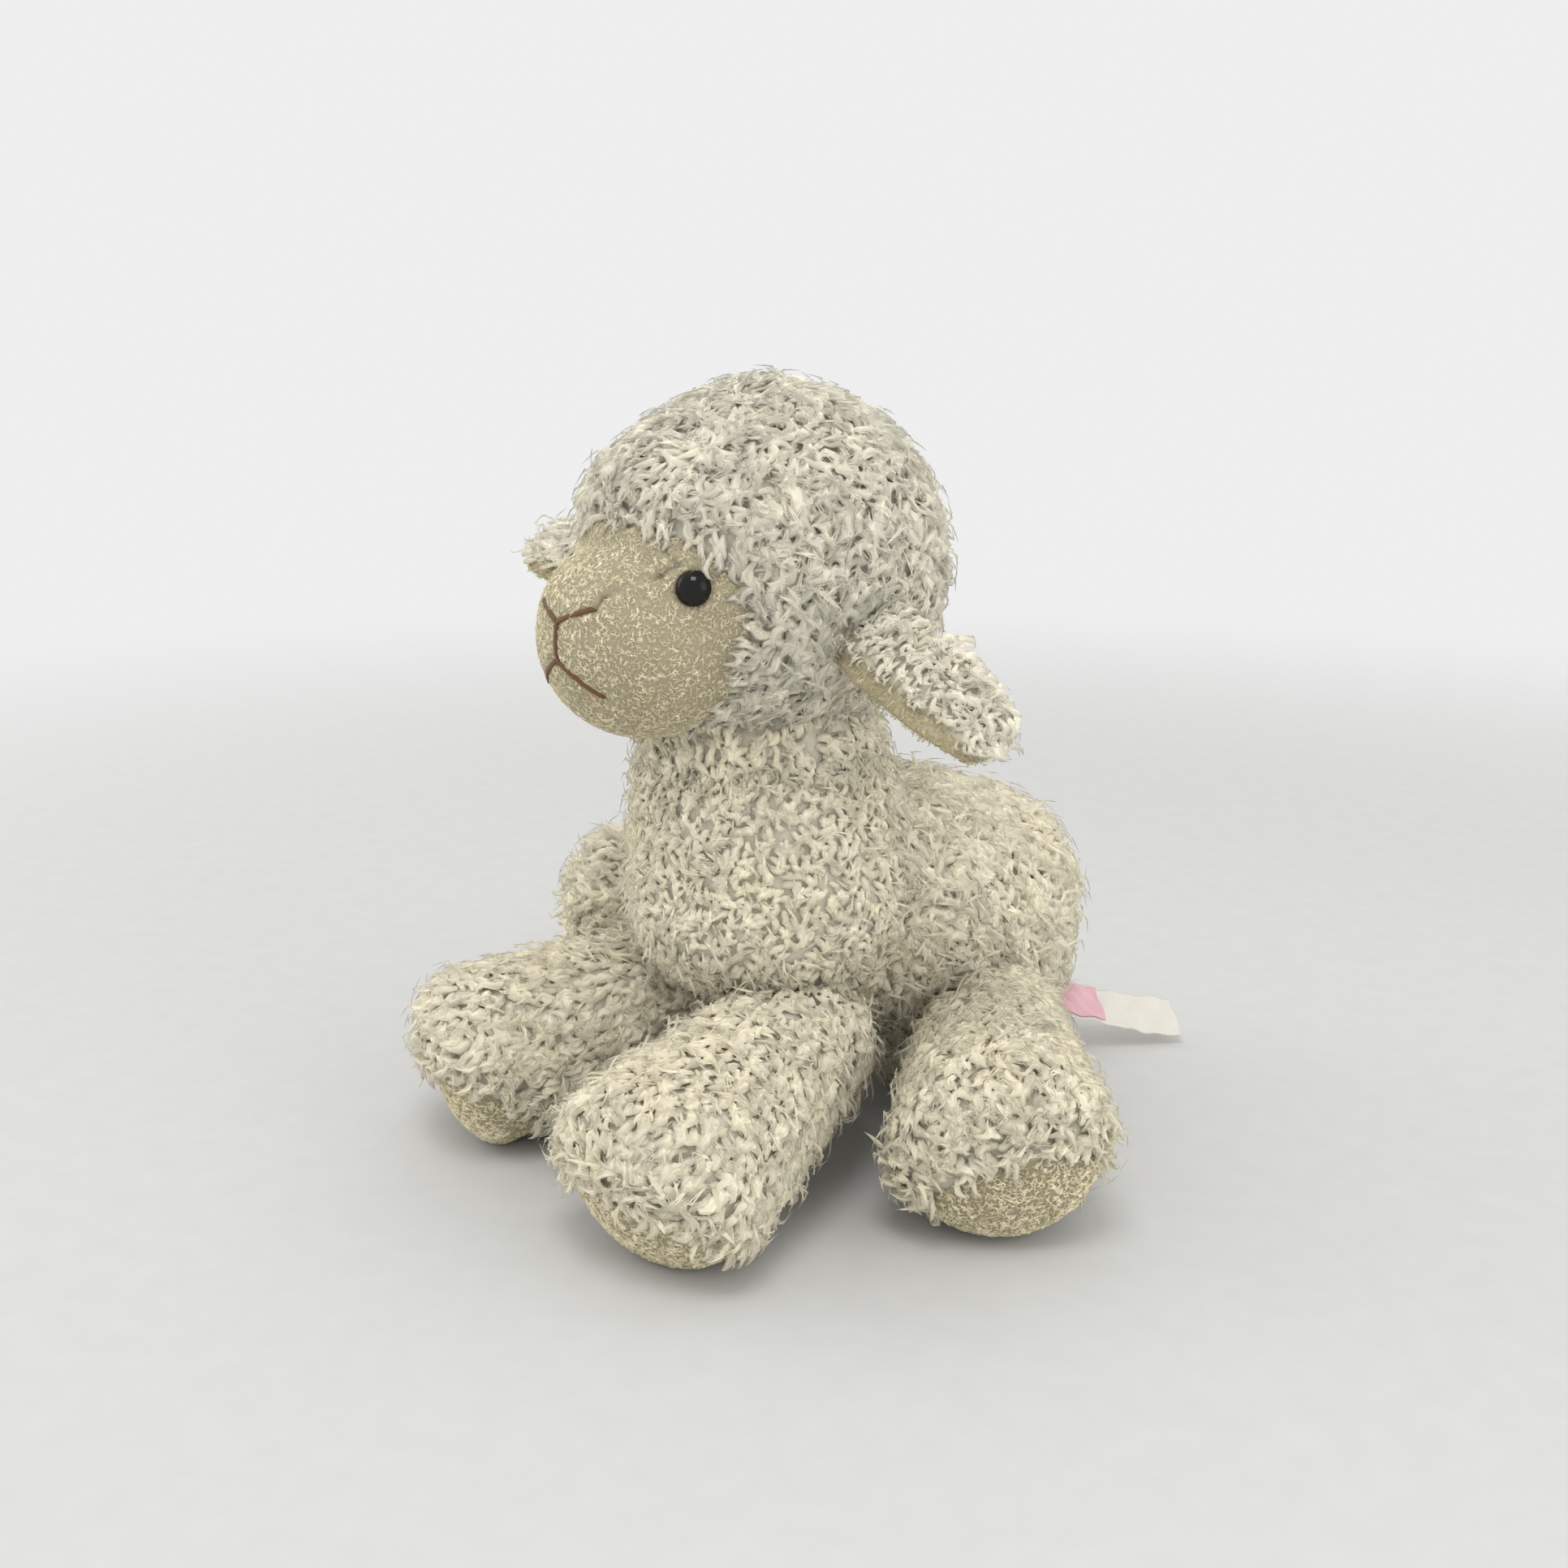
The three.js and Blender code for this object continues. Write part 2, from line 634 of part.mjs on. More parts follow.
// The opening that the face shows in, as a long prism through the front of the head.
function faceSpace(gap) {
  const squared = (value) => Math.sign(value) * Math.abs(value) ** (2 / FACE_SQUARENESS);
  const outline = [];
  for (let j = 0; j < HEAD_SIDES; j++) {
    const angle = (2 * Math.PI * j) / HEAD_SIDES;
    const reach = Math.sin(angle) > 0 ? FACE_TOP : FACE_BOTTOM;
    const x = (FACE_HALF_WIDTH - gap) * squared(Math.cos(angle));
    const z = (reach - gap) * squared(Math.sin(angle));
    outline.push(new THREE.Vector2(x, z));
  }
  const prism = extruded(outline);
  prism.rotateX(Math.PI / 2);
  return solidFrom(prism.translate(0, NECK_BACK + FACE_BACK - gap, NECK_HEIGHT + FACE_RISE));
}

// Where a ray from inside a solid leaves it last, and the normal there.
function surfaceAt(solid, start, direction) {
  const shape = new THREE.Mesh(geometryFrom(solid), new THREE.MeshBasicMaterial({ side: THREE.DoubleSide }));
  const hits = new THREE.Raycaster(start, direction.clone().normalize()).intersectObject(shape);
  const hit = hits[hits.length - 1];
  return { point: hit.point, normal: hit.face.normal.clone() };
}

// An eye sits where the line from the brow's middle to its named place leaves the face.
function eyePlace(outside, side) {
  const middle = new THREE.Vector3(0, NECK_BACK + BROW_BACK, NECK_HEIGHT + BROW_RISE);
  const eye = new THREE.Vector3(side * EYE_SPREAD, NECK_BACK + EYE_BACK, NECK_HEIGHT + EYE_RISE);
  return surfaceAt(outside, middle, eye.sub(middle));
}

// A turned piece, whose profile of radius and height stands on a point of the face along its normal.
function turnedOn({ point, normal }, profile, sides) {
  const geometry = new THREE.LatheGeometry(profile.map(([r, h]) => new THREE.Vector2(r, h)), sides);
  geometry.applyQuaternion(new THREE.Quaternion().setFromUnitVectors(new THREE.Vector3(0, 1, 0), normal));
  return solidFrom(geometry.translate(point.x, point.y, point.z));
}

function eyeProfile() {
  const post = EYE_POST_DIAMETER / 2;
  const profile = [[0, -EYE_POST_LENGTH], [post, -EYE_POST_LENGTH], [post, 0]];
  for (let k = 0; k <= DOME_STEPS; k++) {
    const angle = (Math.PI / 2) * (k / DOME_STEPS);
    const radius = k === DOME_STEPS ? 0 : (EYE_DIAMETER / 2) * Math.cos(angle);
    profile.push([radius, EYE_DOME * Math.sin(angle)]);
  }
  return profile;
}

function washerProfile(bore, gap) {
  const top = gap - SUEDE_PILE - WASHER_DEPTH;
  const bottom = top - WASHER_THICKNESS - 2 * gap;
  const outer = WASHER_DIAMETER / 2 + gap;
  return [[bore, bottom], [outer, bottom], [outer, top], [bore, top], [bore, bottom]];
}

// Room for an eye's post and dome.
function eyeRoom(eye) {
  const cornered = (radius) => radius / Math.cos(Math.PI / BORE_SIDES);
  const post = cornered(EYE_POST_DIAMETER / 2 + LAYER_GAP);
  const dome = cornered(EYE_DIAMETER / 2 + LAYER_GAP);
  const bottom = -EYE_POST_LENGTH - LAYER_GAP;
  const postProfile = [[0, bottom], [post, bottom], [post, -LAYER_GAP]];
  const domeProfile = [[dome, -LAYER_GAP], [dome, EYE_DOME], [0, EYE_DOME]];
  return turnedOn(eye, [...postProfile, ...domeProfile], BORE_SIDES);
}

// The bridge of the nose: narrow at the nose, widest at the eyes and narrower at the brow. The nose ends it.
function bridgeSpace(eyePoint, gap) {
  const wide = Math.abs(eyePoint.x) - EYE_DIAMETER / 2;
  const side = [
    [wide * BRIDGE_NOSE_SHARE, NECK_BACK - CUT_OVERRUN],
    [wide * BRIDGE_NOSE_SHARE, NECK_BACK + NOSE_BACK - NOSE_DOME],
    [wide, eyePoint.y - EYE_DIAMETER / 2],
    [wide, eyePoint.y + EYE_DIAMETER / 2],
    [wide * BRIDGE_BROW_SHARE, NECK_BACK],
  ];
  const outline = [
    ...side.map(([x, y]) => new THREE.Vector2(x + gap, y)),
    ...side.reverse().map(([x, y]) => new THREE.Vector2(-x - gap, y)),
  ];
  const block = extruded(outline);
  return solidFrom(block.translate(0, 0, NECK_HEIGHT + NOSE_POINT_RISE + NOSE_ARM_RISE - gap));
}

// A thread along points.
function thread(points) {
  const section = new THREE.Shape();
  section.absarc(0, 0, THREAD_DIAMETER / 2, 0, 2 * Math.PI);
  const geometry = new THREE.ExtrudeGeometry(section, {
    steps: points.length - 1,
    curveSegments: THREAD_SIDES,
    bevelEnabled: false,
    extrudePath: new THREE.CatmullRomCurve3(points),
  });
  return solidFrom(geometry);
}

// Threads laid just over the face, each from one place to another as seen from the front.
function stitches(ends) {
  const skin = stuffedForm(headForm, SUEDE_PILE + THREAD_DIAMETER / 2 + LAYER_GAP);
  const start = new THREE.Vector3(0, NECK_BACK + BROW_BACK, NECK_HEIGHT + NOSE_RISE);
  const reach = NOSE_BACK - NOSE_DOME - BROW_BACK;
  const onFace = ({ x, y }) => surfaceAt(skin, start, new THREE.Vector3(x, reach, y - NOSE_RISE)).point;
  const rows = ends.map(([from, to]) => {
    const points = [];
    for (let k = 0; k <= THREAD_STEPS; k++) points.push(onFace(from.clone().lerp(to, k / THREAD_STEPS)));
    return thread(points);
  });
  return joined(rows);
}

function buildHead(parent) {
  const head = addPlaced(parent, placeAt(neckMiddle, {}));
  const inside = backing(headForm, 0);
  const faceOutside = stuffedForm(headForm, SUEDE_PILE);
  const rooms = joined([neckSeat(), earRoom(left), earRoom(right)]);
  const eyes = [left, right].map((side) => eyePlace(faceOutside, side));
  const eyeRooms = joined(eyes.map(eyeRoom));
  const washerRooms = joined(eyes.map((eye) => turnedOn(eye, washerProfile(0, LAYER_GAP), BORE_SIDES)));

  const skin = stuffedForm(headForm, WOOL_PILE).subtract(inside);
  hang(head, "head_wool", skin.subtract(faceSpace(0)).subtract(rooms), wool);
  const core = backing(headForm, LAYER_GAP).subtract(rooms);
  hang(head, "head_stuffing", core.subtract(eyeRooms).subtract(washerRooms), stuffing);

  const face = faceOutside.intersect(faceSpace(LAYER_GAP)).subtract(joined([inside, rooms, eyeRooms]));
  const cheeks = face.subtract(bridgeSpace(eyes[0].point, LAYER_GAP));
  hang(head, "face_bridge_panel", face.intersect(bridgeSpace(eyes[0].point, 0)), suede);
  hang(head, "left_cheek_panel", cheeks.intersect(spaceBeside(left, LAYER_GAP / 2)), suede);
  hang(head, "right_cheek_panel", cheeks.intersect(spaceBeside(right, LAYER_GAP / 2)), suede);

  eyes.forEach((eye, i) => {
    const word = i === 0 ? "left" : "right";
    const bore = EYE_POST_DIAMETER / 2 + LAYER_GAP;
    hang(head, `${word}_eye`, turnedOn(eye, eyeProfile(), ROUND_SIDES), button);
    hang(head, `${word}_eye_washer`, turnedOn(eye, washerProfile(bore, 0), BORE_SIDES), washer);
  });

  const point = new THREE.Vector2(0, NOSE_POINT_RISE);
  const lip = new THREE.Vector2(0, LIP_RISE);
  const fromPoint = (x, y) => [new THREE.Vector2(point.x + x, point.y + y), point];
  const fromLip = (x, y) => [new THREE.Vector2(lip.x + x, lip.y + y), lip];
  const stemEnd = new THREE.Vector2(0, LIP_RISE + THREAD_DIAMETER + LAYER_GAP);
  const noseArms = [left, right].map((side) => fromPoint(side * NOSE_ARM_SPREAD, NOSE_ARM_RISE));
  const mouth = [fromLip(-MOUTH_SPREAD, -MOUTH_DROP), fromLip(MOUTH_SPREAD, -MOUTH_DROP)];
  hang(head, "nose_stitching", stitches([...noseArms, [point, stemEnd]]), floss);
  hang(head, "mouth_stitching", stitches(mouth), floss);
  return head;
}

// Labels

function buildLabels(parent) {
  const middle = new THREE.Vector3(0, RUMP_BACK, rumpHeight);
  const toSeam = new THREE.Vector3(LABEL_SIDE, LABEL_BACK, LABEL_HEIGHT).sub(middle);
  const { point, normal } = surfaceAt(torsoOutside(), middle, toSeam);
  const seam = point.addScaledVector(normal, LABEL_THICKNESS * 2 + LAYER_GAP / 2);
  const place = { roll: -LABEL_ROLL_DEG, drop: LABEL_DROP_DEG, turn: halfTurnDeg + LABEL_TURN_DEG };
  const group = addPlaced(parent, placeAt(seam, place));
  const strip = (name, width, length, lift, material) => {
    const slab = new THREE.BoxGeometry(width, length, LABEL_THICKNESS);
    const mesh = new THREE.Mesh(slab.translate(0, -length / 2, lift), material);
    mesh.name = name;
    group.add(mesh);
  };
  strip("care_label", LABEL_WIDTH, LABEL_LENGTH, 0, satin);
  strip("top_label", TOP_LABEL_WIDTH, TOP_LABEL_LENGTH, LABEL_THICKNESS + LAYER_GAP, pink);
}

const sheep = new THREE.Group();
const torso = buildTorso(sheep);
for (const leg of LEGS) buildLeg(torso, leg);
buildTail(torso);
buildLabels(torso);
const neck = buildNeck(torso);
const head = buildHead(neck);
buildEar(head, left);
buildEar(head, right);

export default sheep;
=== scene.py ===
# %% [markdown]
# A plush sheep that sits with its legs splayed. The frame holds the plain solids of every piece, in metres. Here
# they get what a solid can't show: curly wool, short-pile cloth, glossy eyes, embroidery and limp labels. Each step
# below says what a piece is on the real toy and why it is made this way, and its cell prints what it made.

# %% Load the frame
import json
import math
import bmesh
import bpy
import numpy as np
from mathutils import Matrix, Vector
from mathutils.bvhtree import BVHTree

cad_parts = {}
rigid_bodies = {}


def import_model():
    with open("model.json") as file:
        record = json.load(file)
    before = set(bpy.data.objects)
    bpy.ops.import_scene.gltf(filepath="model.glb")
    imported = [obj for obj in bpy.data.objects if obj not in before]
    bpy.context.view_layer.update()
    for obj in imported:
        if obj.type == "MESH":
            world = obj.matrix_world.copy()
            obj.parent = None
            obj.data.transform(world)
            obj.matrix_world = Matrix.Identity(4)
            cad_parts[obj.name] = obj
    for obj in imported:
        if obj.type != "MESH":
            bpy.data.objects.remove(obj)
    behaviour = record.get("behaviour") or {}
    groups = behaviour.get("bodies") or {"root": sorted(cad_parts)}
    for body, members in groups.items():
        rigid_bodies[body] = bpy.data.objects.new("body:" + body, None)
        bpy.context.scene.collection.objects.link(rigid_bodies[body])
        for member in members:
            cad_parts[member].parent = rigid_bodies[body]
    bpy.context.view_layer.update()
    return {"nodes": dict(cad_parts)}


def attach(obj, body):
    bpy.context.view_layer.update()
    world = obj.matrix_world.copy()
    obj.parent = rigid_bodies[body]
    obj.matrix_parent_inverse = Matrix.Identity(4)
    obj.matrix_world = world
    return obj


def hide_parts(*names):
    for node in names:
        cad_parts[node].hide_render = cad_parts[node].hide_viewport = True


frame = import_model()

MM = 0.001
FORWARD = Vector((0, -1, 0))


def add_object(name, data):
    """An object at the origin that shows the given mesh, lamp or camera."""
    thing = bpy.data.objects.new(name, data)
    bpy.context.scene.collection.objects.link(thing)
    return thing


def new_piece(name, vertices, faces, material):
    """An object at the origin, from vertices in metres."""
    mesh = bpy.data.meshes.new(name)
    mesh.from_pydata([tuple(v) for v in vertices], [], [tuple(f) for f in faces])
    mesh.materials.append(material)
    mesh.shade_smooth()
    return add_object(name, mesh)


# %% [markdown]
# The camera looks down a little on the sheep's left front. Its place and aim were worked out from where the feet
# stand and from the size of the eyes. Aiming it at a target would be quicker, but it also rolls a little, so its
# heading, tilt and roll are given one by one.

# %% Camera
CAMERA_PLACE = Vector((0.423, -0.417, 0.258))
CAMERA_HEADING = Vector((-0.776, 0.63, 0)).normalized()
CAMERA_TILT = math.radians(-14.0)
CAMERA_ROLL = math.radians(0.4)
SENSOR_WIDTH = 36.0
FOCAL_SHARE = 2096 / 1932

look = CAMERA_HEADING * math.cos(CAMERA_TILT) + Vector((0, 0, math.sin(CAMERA_TILT)))
across = look.cross(Vector((0, 0, 1))).normalized()
camera_data = bpy.data.cameras.new("camera")
camera_data.sensor_width = SENSOR_WIDTH
camera_data.lens = SENSOR_WIDTH * FOCAL_SHARE
camera = add_object("camera", camera_data)
turn = Matrix((across, across.cross(look), -look)).transposed()
camera.matrix_world = Matrix.Translation(CAMERA_PLACE) @ turn.to_4x4() @ Matrix.Rotation(CAMERA_ROLL, 4, "Z")
bpy.context.scene.camera = camera
print("camera lens", round(camera_data.lens, 2), "mm")

# %% [markdown]
# Nodes could be added and linked one at a time, but then a finish fills a page and its maths can't be read. Here
# one class adds a node to a tree from its type, its settings and its inputs. What it returns stands for the node's
# output, and adding or multiplying such outputs adds the Math nodes.

# %% Node trees as Python
class Output:
    """A node's output, which Python's operators turn into Math nodes."""

    def __init__(self, tree, socket):
        self.tree = tree
        self.socket = socket


def add_operator(word, operation):
    """Teaches Output one operator, and its reflected form for a number on the left."""
    def combined(first, second, tree):
        return tree.add("ShaderNodeMath", {"operation": operation}, {0: first, 1: second})

    setattr(Output, f"__{word}__", lambda self, other: combined(self, other, self.tree))
    setattr(Output, f"__r{word}__", lambda self, other: combined(other, self, self.tree))


for word, operation in (("add", "ADD"), ("sub", "SUBTRACT"), ("mul", "MULTIPLY"), ("truediv", "DIVIDE")):
    add_operator(word, operation)


class NodeTree:
    """Adds nodes to a tree."""

    def __init__(self, tree):
        self.tree = tree

    def add(self, kind, settings=None, inputs=None, output=0):
        """Adds a node and returns one output of it, or a list of them for a tuple of names."""
        node = self.tree.nodes.new(kind)
        for name, value in (settings or {}).items():
            setattr(node, name, value)
        for name, value in (inputs or {}).items():
            if isinstance(value, Output):
                self.tree.links.new(value.socket, node.inputs[name])
            else:
                node.inputs[name].default_value = value
        if isinstance(output, tuple):
            return [Output(self, node.outputs[name]) for name in output]
        return Output(self, node.outputs[output])

    def vector(self, operation, *values):
        inputs = dict(enumerate(values))
        if operation == "SCALE":
            inputs = {0: values[0], "Scale": values[1]}
        return self.add("ShaderNodeVectorMath", {"operation": operation}, inputs)

    def mix(self, share, first, second):
        return self.add("ShaderNodeMix", {"data_type": "RGBA"}, {0: share, 6: first, 7: second}, output=2)

    def noise(self, place, scale, detail, rough=0.5, **settings):
        return self.add("ShaderNodeTexNoise", settings, {
            "Vector": place, "Scale": scale, "Detail": detail, "Roughness": rough})

    def map_noise(self, stretch, detail, rough=0.5):
        """Noise that is drawn out along a lock or a stitch, from the piece's own map."""
        own_map = self.add("ShaderNodeUVMap", {"uv_map": "LockMap"})
        return self.noise(self.vector("MULTIPLY", own_map, (*stretch, 1.0)), 1.0, detail, rough,
                          noise_dimensions="2D")

    def attribute(self, name):
        return self.add("ShaderNodeAttribute", {"attribute_name": name}, output="Fac")

    def named_field(self, name, kind="FLOAT"):
        return self.add("GeometryNodeInputNamedAttribute", {"data_type": kind}, {"Name": name})

    def random(self, kind, seed, low, high):
        output = ("FLOAT_VECTOR", "FLOAT", "INT").index(kind)
        return self.add("FunctionNodeRandomValue", {"data_type": kind},
                        {2 * output: low, 2 * output + 1: high, "Seed": seed}, output)

    def object_place(self):
        return self.add("ShaderNodeTexCoord", output="Object")

    def bump(self, strength, distance, height):
        return self.add("ShaderNodeBump", None, {"Strength": strength, "Distance": distance, "Height": height})

    def spread(self, value, low, high, new_low, new_high, smooth=False):
        """Maps a value from one range to another."""
        return self.add("ShaderNodeMapRange", {"interpolation_type": "SMOOTHSTEP" if smooth else "LINEAR"}, {
            "Value": value, "From Min": low, "From Max": high, "To Min": new_low, "To Max": new_high})


def empty_tree(owner):
    """Clears the node tree of a material or a world."""
    owner.use_nodes = True
    owner.node_tree.nodes.clear()
    return NodeTree(owner.node_tree)


def new_material(name):
    material = bpy.data.materials.new(name)
    return material, empty_tree(material)


def finish_material(tree, inputs, **settings):
    """Ends a material in one Principled shader. Constants are set on its sockets and not linked."""
    shader = tree.add("ShaderNodeBsdfPrincipled", settings, inputs)
    tree.add("ShaderNodeOutputMaterial", None, {0: shader}, output=())


def linear(red, green, blue):
    """A colour written as it shows on a screen, turned into the values that light is added up in."""
    def one(value):
        value = value / 255
        return value / 12.92 if value <= 0.04045 else ((value + 0.055) / 1.055) ** 2.4
    return (one(red), one(green), one(blue), 1)


def speckled_material(name, scale, detail, dark, light, constants, gloss=None, relief=None, stretch=None):
    """A material that wavers between two colours, and its gloss or relief with it, by place or along its map."""
    material, tree = new_material(name)
    if stretch:
        specks = tree.map_noise(stretch, detail)
    else:
        specks = tree.noise(tree.object_place(), scale, detail)
    varying = {"Base Color": tree.mix(specks, linear(*dark), linear(*light))}
    if gloss:
        varying["Roughness"] = gloss[0] + specks * gloss[1]
    if relief:
        varying["Normal"] = tree.bump(*relief, specks)
    finish_material(tree, constants | varying)
    return material


print("node helpers ready")

# %% [markdown]
# The light is a plain soft studio: a lamp above and in front, a weaker one at each side, and a pale world. A world
# alone would flatten the curls, and small hard lamps would turn the gaps between them black. The floor keeps the
# sheep's shadow. The pale backdrop is the world's colour for camera rays, not light on the sheep.

# %% Floor, backdrop and lamps
FLOOR_SIZE = 6.0
BACKDROP_GREY = 0.86
WORLD_LIGHT = 0.82
FADE_START, FADE_END = 0.35, 1.3
LAMP_AIM = Vector((0, -0.05, 0.1))

floor_material, tree = new_material("studio_floor")
floor_colour = tree.mix(tree.noise(tree.object_place(), 90.0, 4.0), linear(214, 214, 212), linear(222, 222, 220))
from_middle = tree.add("ShaderNodeVectorMath", {"operation": "LENGTH"}, {0: tree.object_place()}, output=1)
finish_material(tree, {
    "Roughness": 0.8, "Specular IOR Level": 0.2, "Base Color": floor_colour,
    "Alpha": tree.spread(from_middle, FADE_START, FADE_END, 1.0, 0.0, smooth=True)})

half = FLOOR_SIZE / 2
new_piece("studio_floor", [(-half, -half, 0), (half, -half, 0), (half, half, 0), (-half, half, 0)],
                   [(0, 1, 2, 3)], floor_material)

world = bpy.data.worlds.new("studio")
bpy.context.scene.world = world
tree = empty_tree(world)
rays = tree.add("ShaderNodeLightPath", output=("Is Camera Ray", "Is Transmission Ray"))
lamp_light, backdrop = (tree.add("ShaderNodeBackground", None, {"Color": (1, 1, 1, 1), "Strength": strength})
                        for strength in (WORLD_LIGHT, BACKDROP_GREY))
seen = tree.add("ShaderNodeMixShader", None, {0: rays[0] + rays[1], 1: lamp_light, 2: backdrop})
tree.add("ShaderNodeOutputWorld", None, {0: seen}, output=())
bpy.context.scene.view_settings.view_transform = "Standard"


def add_lamp(name, place, size, watts):
    data = bpy.data.lights.new(name, "AREA")
    data.size = size
    data.energy = watts
    aim = LAMP_AIM - Vector(place)
    turn = aim.to_track_quat("-Z", "Y").to_matrix().to_4x4()
    add_object(name, data).matrix_world = Matrix.Translation(place) @ turn


add_lamp("key_lamp", (0.45, -0.55, 1.35), 0.5, 4.8)
add_lamp("left_lamp", (1.3, 0.3, 0.6), 0.9, 2.2)
add_lamp("right_lamp", (-1.1, -0.9, 0.7), 0.9, 2.6)
print("lamps:", len(bpy.data.lights))

# %% [markdown]
# A stuffed piece is a cloth bag that its filling rounds out. It could be sculpted, or inflated by a simulation, but
# a form that swells along a line keeps its measures, and the solids can follow the same rule with coarser rings.
# Each stop holds the line's place behind and above the origin, and the form's half width and half height there.
# Line and sizes run smoothly through the stops, and both ends are domed.

# %% Sizes of the stuffed forms, in millimetres
SUEDE_PILE = 2.0
RUMP = (8, 52.04, 36, 50)
BELLY = (-30, 72, 39, 43)
SHOULDERS = (-62, 84, 38, 38)
BREAST = (-79, 89, 43, 41)
COLLAR = (-83, 121, 36, 35)
NECK = Vector((0, -83, 135))
NECK_RADIUS = 33
CROWN = (NECK.y + 2, NECK.z + 61, 50, 50)
BROW = (NECK.y - 23, NECK.z + 53, 45, 45)
NOSE = (NECK.y - 46, NECK.z + 42, 32, 29)
trunk_form = {"stops": [RUMP, BELLY, SHOULDERS], "domes": (31, 30)}
chest_form = {"stops": [BREAST, COLLAR], "domes": (32, 35)}
head_form = {"stops": [CROWN, BROW, NOSE], "domes": (50, 29)}


def curve_at(stops, share):
    """A point of the smooth curve through the stops, with its knots spaced by the root of their distance."""
    last = len(stops) - 1
    at = min(int(share * last), last - 1)
    part = share * last - at
    one, two = stops[at], stops[at + 1]
    before = stops[at - 1] if at > 0 else 2 * stops[0] - stops[1]
    after = stops[at + 2] if at + 2 <= last else 2 * stops[last] - stops[last - 1]
    gaps = [max(np.linalg.norm(b - a) ** 0.5, 1e-4) for a, b in ((before, one), (one, two), (two, after))]
    leave = ((one - before) / gaps[0] - (two - before) / (gaps[0] + gaps[1]) + (two - one) / gaps[1]) * gaps[1]
    reach = ((two - one) / gaps[1] - (after - one) / (gaps[1] + gaps[2]) + (after - two) / gaps[2]) * gaps[1]
    squared = 2 * one - 2 * two + leave + reach
    return one + leave * part + (-3 * one + 3 * two - 2 * leave - reach) * part ** 2 + squared * part ** 3


def stuffed_form(form, out, sides=48, steps=24, dome_steps=10, upper=1.0, lower=1.0):
    """Vertices, in millimetres, and faces of a form that is grown by out."""
    stops = np.array(form["stops"], float)
    line, sizes = stops[:, :2], stops[:, 2:]
    quarter = math.pi / 2 * np.arange(dome_steps) / dome_steps
    rings = [(0.0, -(form["domes"][0] + out), angle) for angle in quarter]
    rings += [(i / steps, 0.0, math.pi / 2) for i in range(steps + 1)]
    rings += [(1.0, form["domes"][1] + out, angle) for angle in quarter[::-1]]
    angles = np.arange(sides) * 2 * math.pi / sides
    shares = np.where(np.sin(angles) > 0, upper, lower)
    points = []
    for share, depth, angle in rings:
        step = 1e-3
        ahead, behind = curve_at(line, min(share + step, 1)), curve_at(line, max(share - step, 0))
        along = (ahead - behind) / np.linalg.norm(ahead - behind)
        middle = curve_at(line, share) + along * depth * math.cos(angle)
        swell = math.sin(angle)
        if swell < 1e-9:
            points.append([(0.0, middle[0], middle[1])])
            continue
        half_width, half_height = curve_at(sizes, share)
        x = (half_width + out) * swell * np.cos(angles)
        rise = (half_height + out) * swell * shares * np.sin(angles)
        points.append(np.stack([x, middle[0] + along[1] * rise, middle[1] - along[0] * rise], 1))
    return ring_mesh(points, sides)


def ring_mesh(rings, sides):
    """Joins rings of points, the first and the last a single point, into a closed surface."""
    vertices = np.concatenate([np.array(ring, float).reshape(-1, 3) for ring in rings])
    faces = []
    count = len(rings) - 2
    last = len(vertices) - 1
    for j in range(sides):
        k = (j + 1) % sides
        faces.append((0, 1 + k, 1 + j))
        for i in range(count - 1):
            a, b = 1 + i * sides, 1 + (i + 1) * sides
            faces.append((a + j, a + k, b + k, b + j))
        a = 1 + (count - 1) * sides
        faces.append((last, a + j, a + k))
    return vertices, faces


def made_real(holder, name):
    """Puts a plain mesh, with all its layers, in the place of an object that has modifiers."""
    depsgraph = bpy.context.evaluated_depsgraph_get()
    mesh = bpy.data.meshes.new_from_object(
        holder.evaluated_get(depsgraph), preserve_all_data_layers=True, depsgraph=depsgraph)
    bpy.data.objects.remove(holder)
    mesh.name = name
    mesh.shade_smooth()
    return add_object(name, mesh)


def add_field(mesh, label, values, width=1):
    """Writes a number for each vertex, or a vector of three. One value may stand for all vertices."""
    layer = mesh.attributes.new(label, "FLOAT" if width == 1 else "FLOAT_VECTOR", "POINT")
    values = np.asarray(values, np.float32)
    if values.size == width:
        values = np.tile(values, len(mesh.vertices))
    layer.data.foreach_set("value" if width == 1 else "vector", values.ravel())


def place_piece(piece, body, slot, *nodes):
    """Makes a piece move with its body and hides the solids that it stands for. The slot is not used."""
    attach(piece, body)
    if nodes:
        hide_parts(*nodes)


def place_padded(piece, body, slot, *nodes, fill=0.8):
    place_piece(piece, body, slot, *nodes)


print("trunk ring points:", len(stuffed_form(trunk_form, 0)[0]))

# %% [markdown]
# Legs, ears, tail and labels are sewn on at a slant. Each is made along its own line, which runs forward, and is
# then rolled about it, dropped and turned to the place that its solid has. So one rule makes all four legs, and
# what is measured along a leg, such as its comb or its sole, is measured along a straight line.

# %% Places of the limbs
def place_at(position, roll=0.0, drop=0.0, turn=0.0):
    spin = Matrix.Rotation(math.radians(turn), 4, "Z")
    dip = Matrix.Rotation(math.radians(drop), 4, "X")
    lean = Matrix.Rotation(math.radians(roll), 4, "Y")
    return Matrix.Translation(position) @ spin @ dip @ lean


def moved(vertices, place):
    """Vertices in millimetres, put in their place."""
    turn = np.array(place.to_3x3())
    return np.asarray(vertices) @ turn.T + np.array(place.translation)


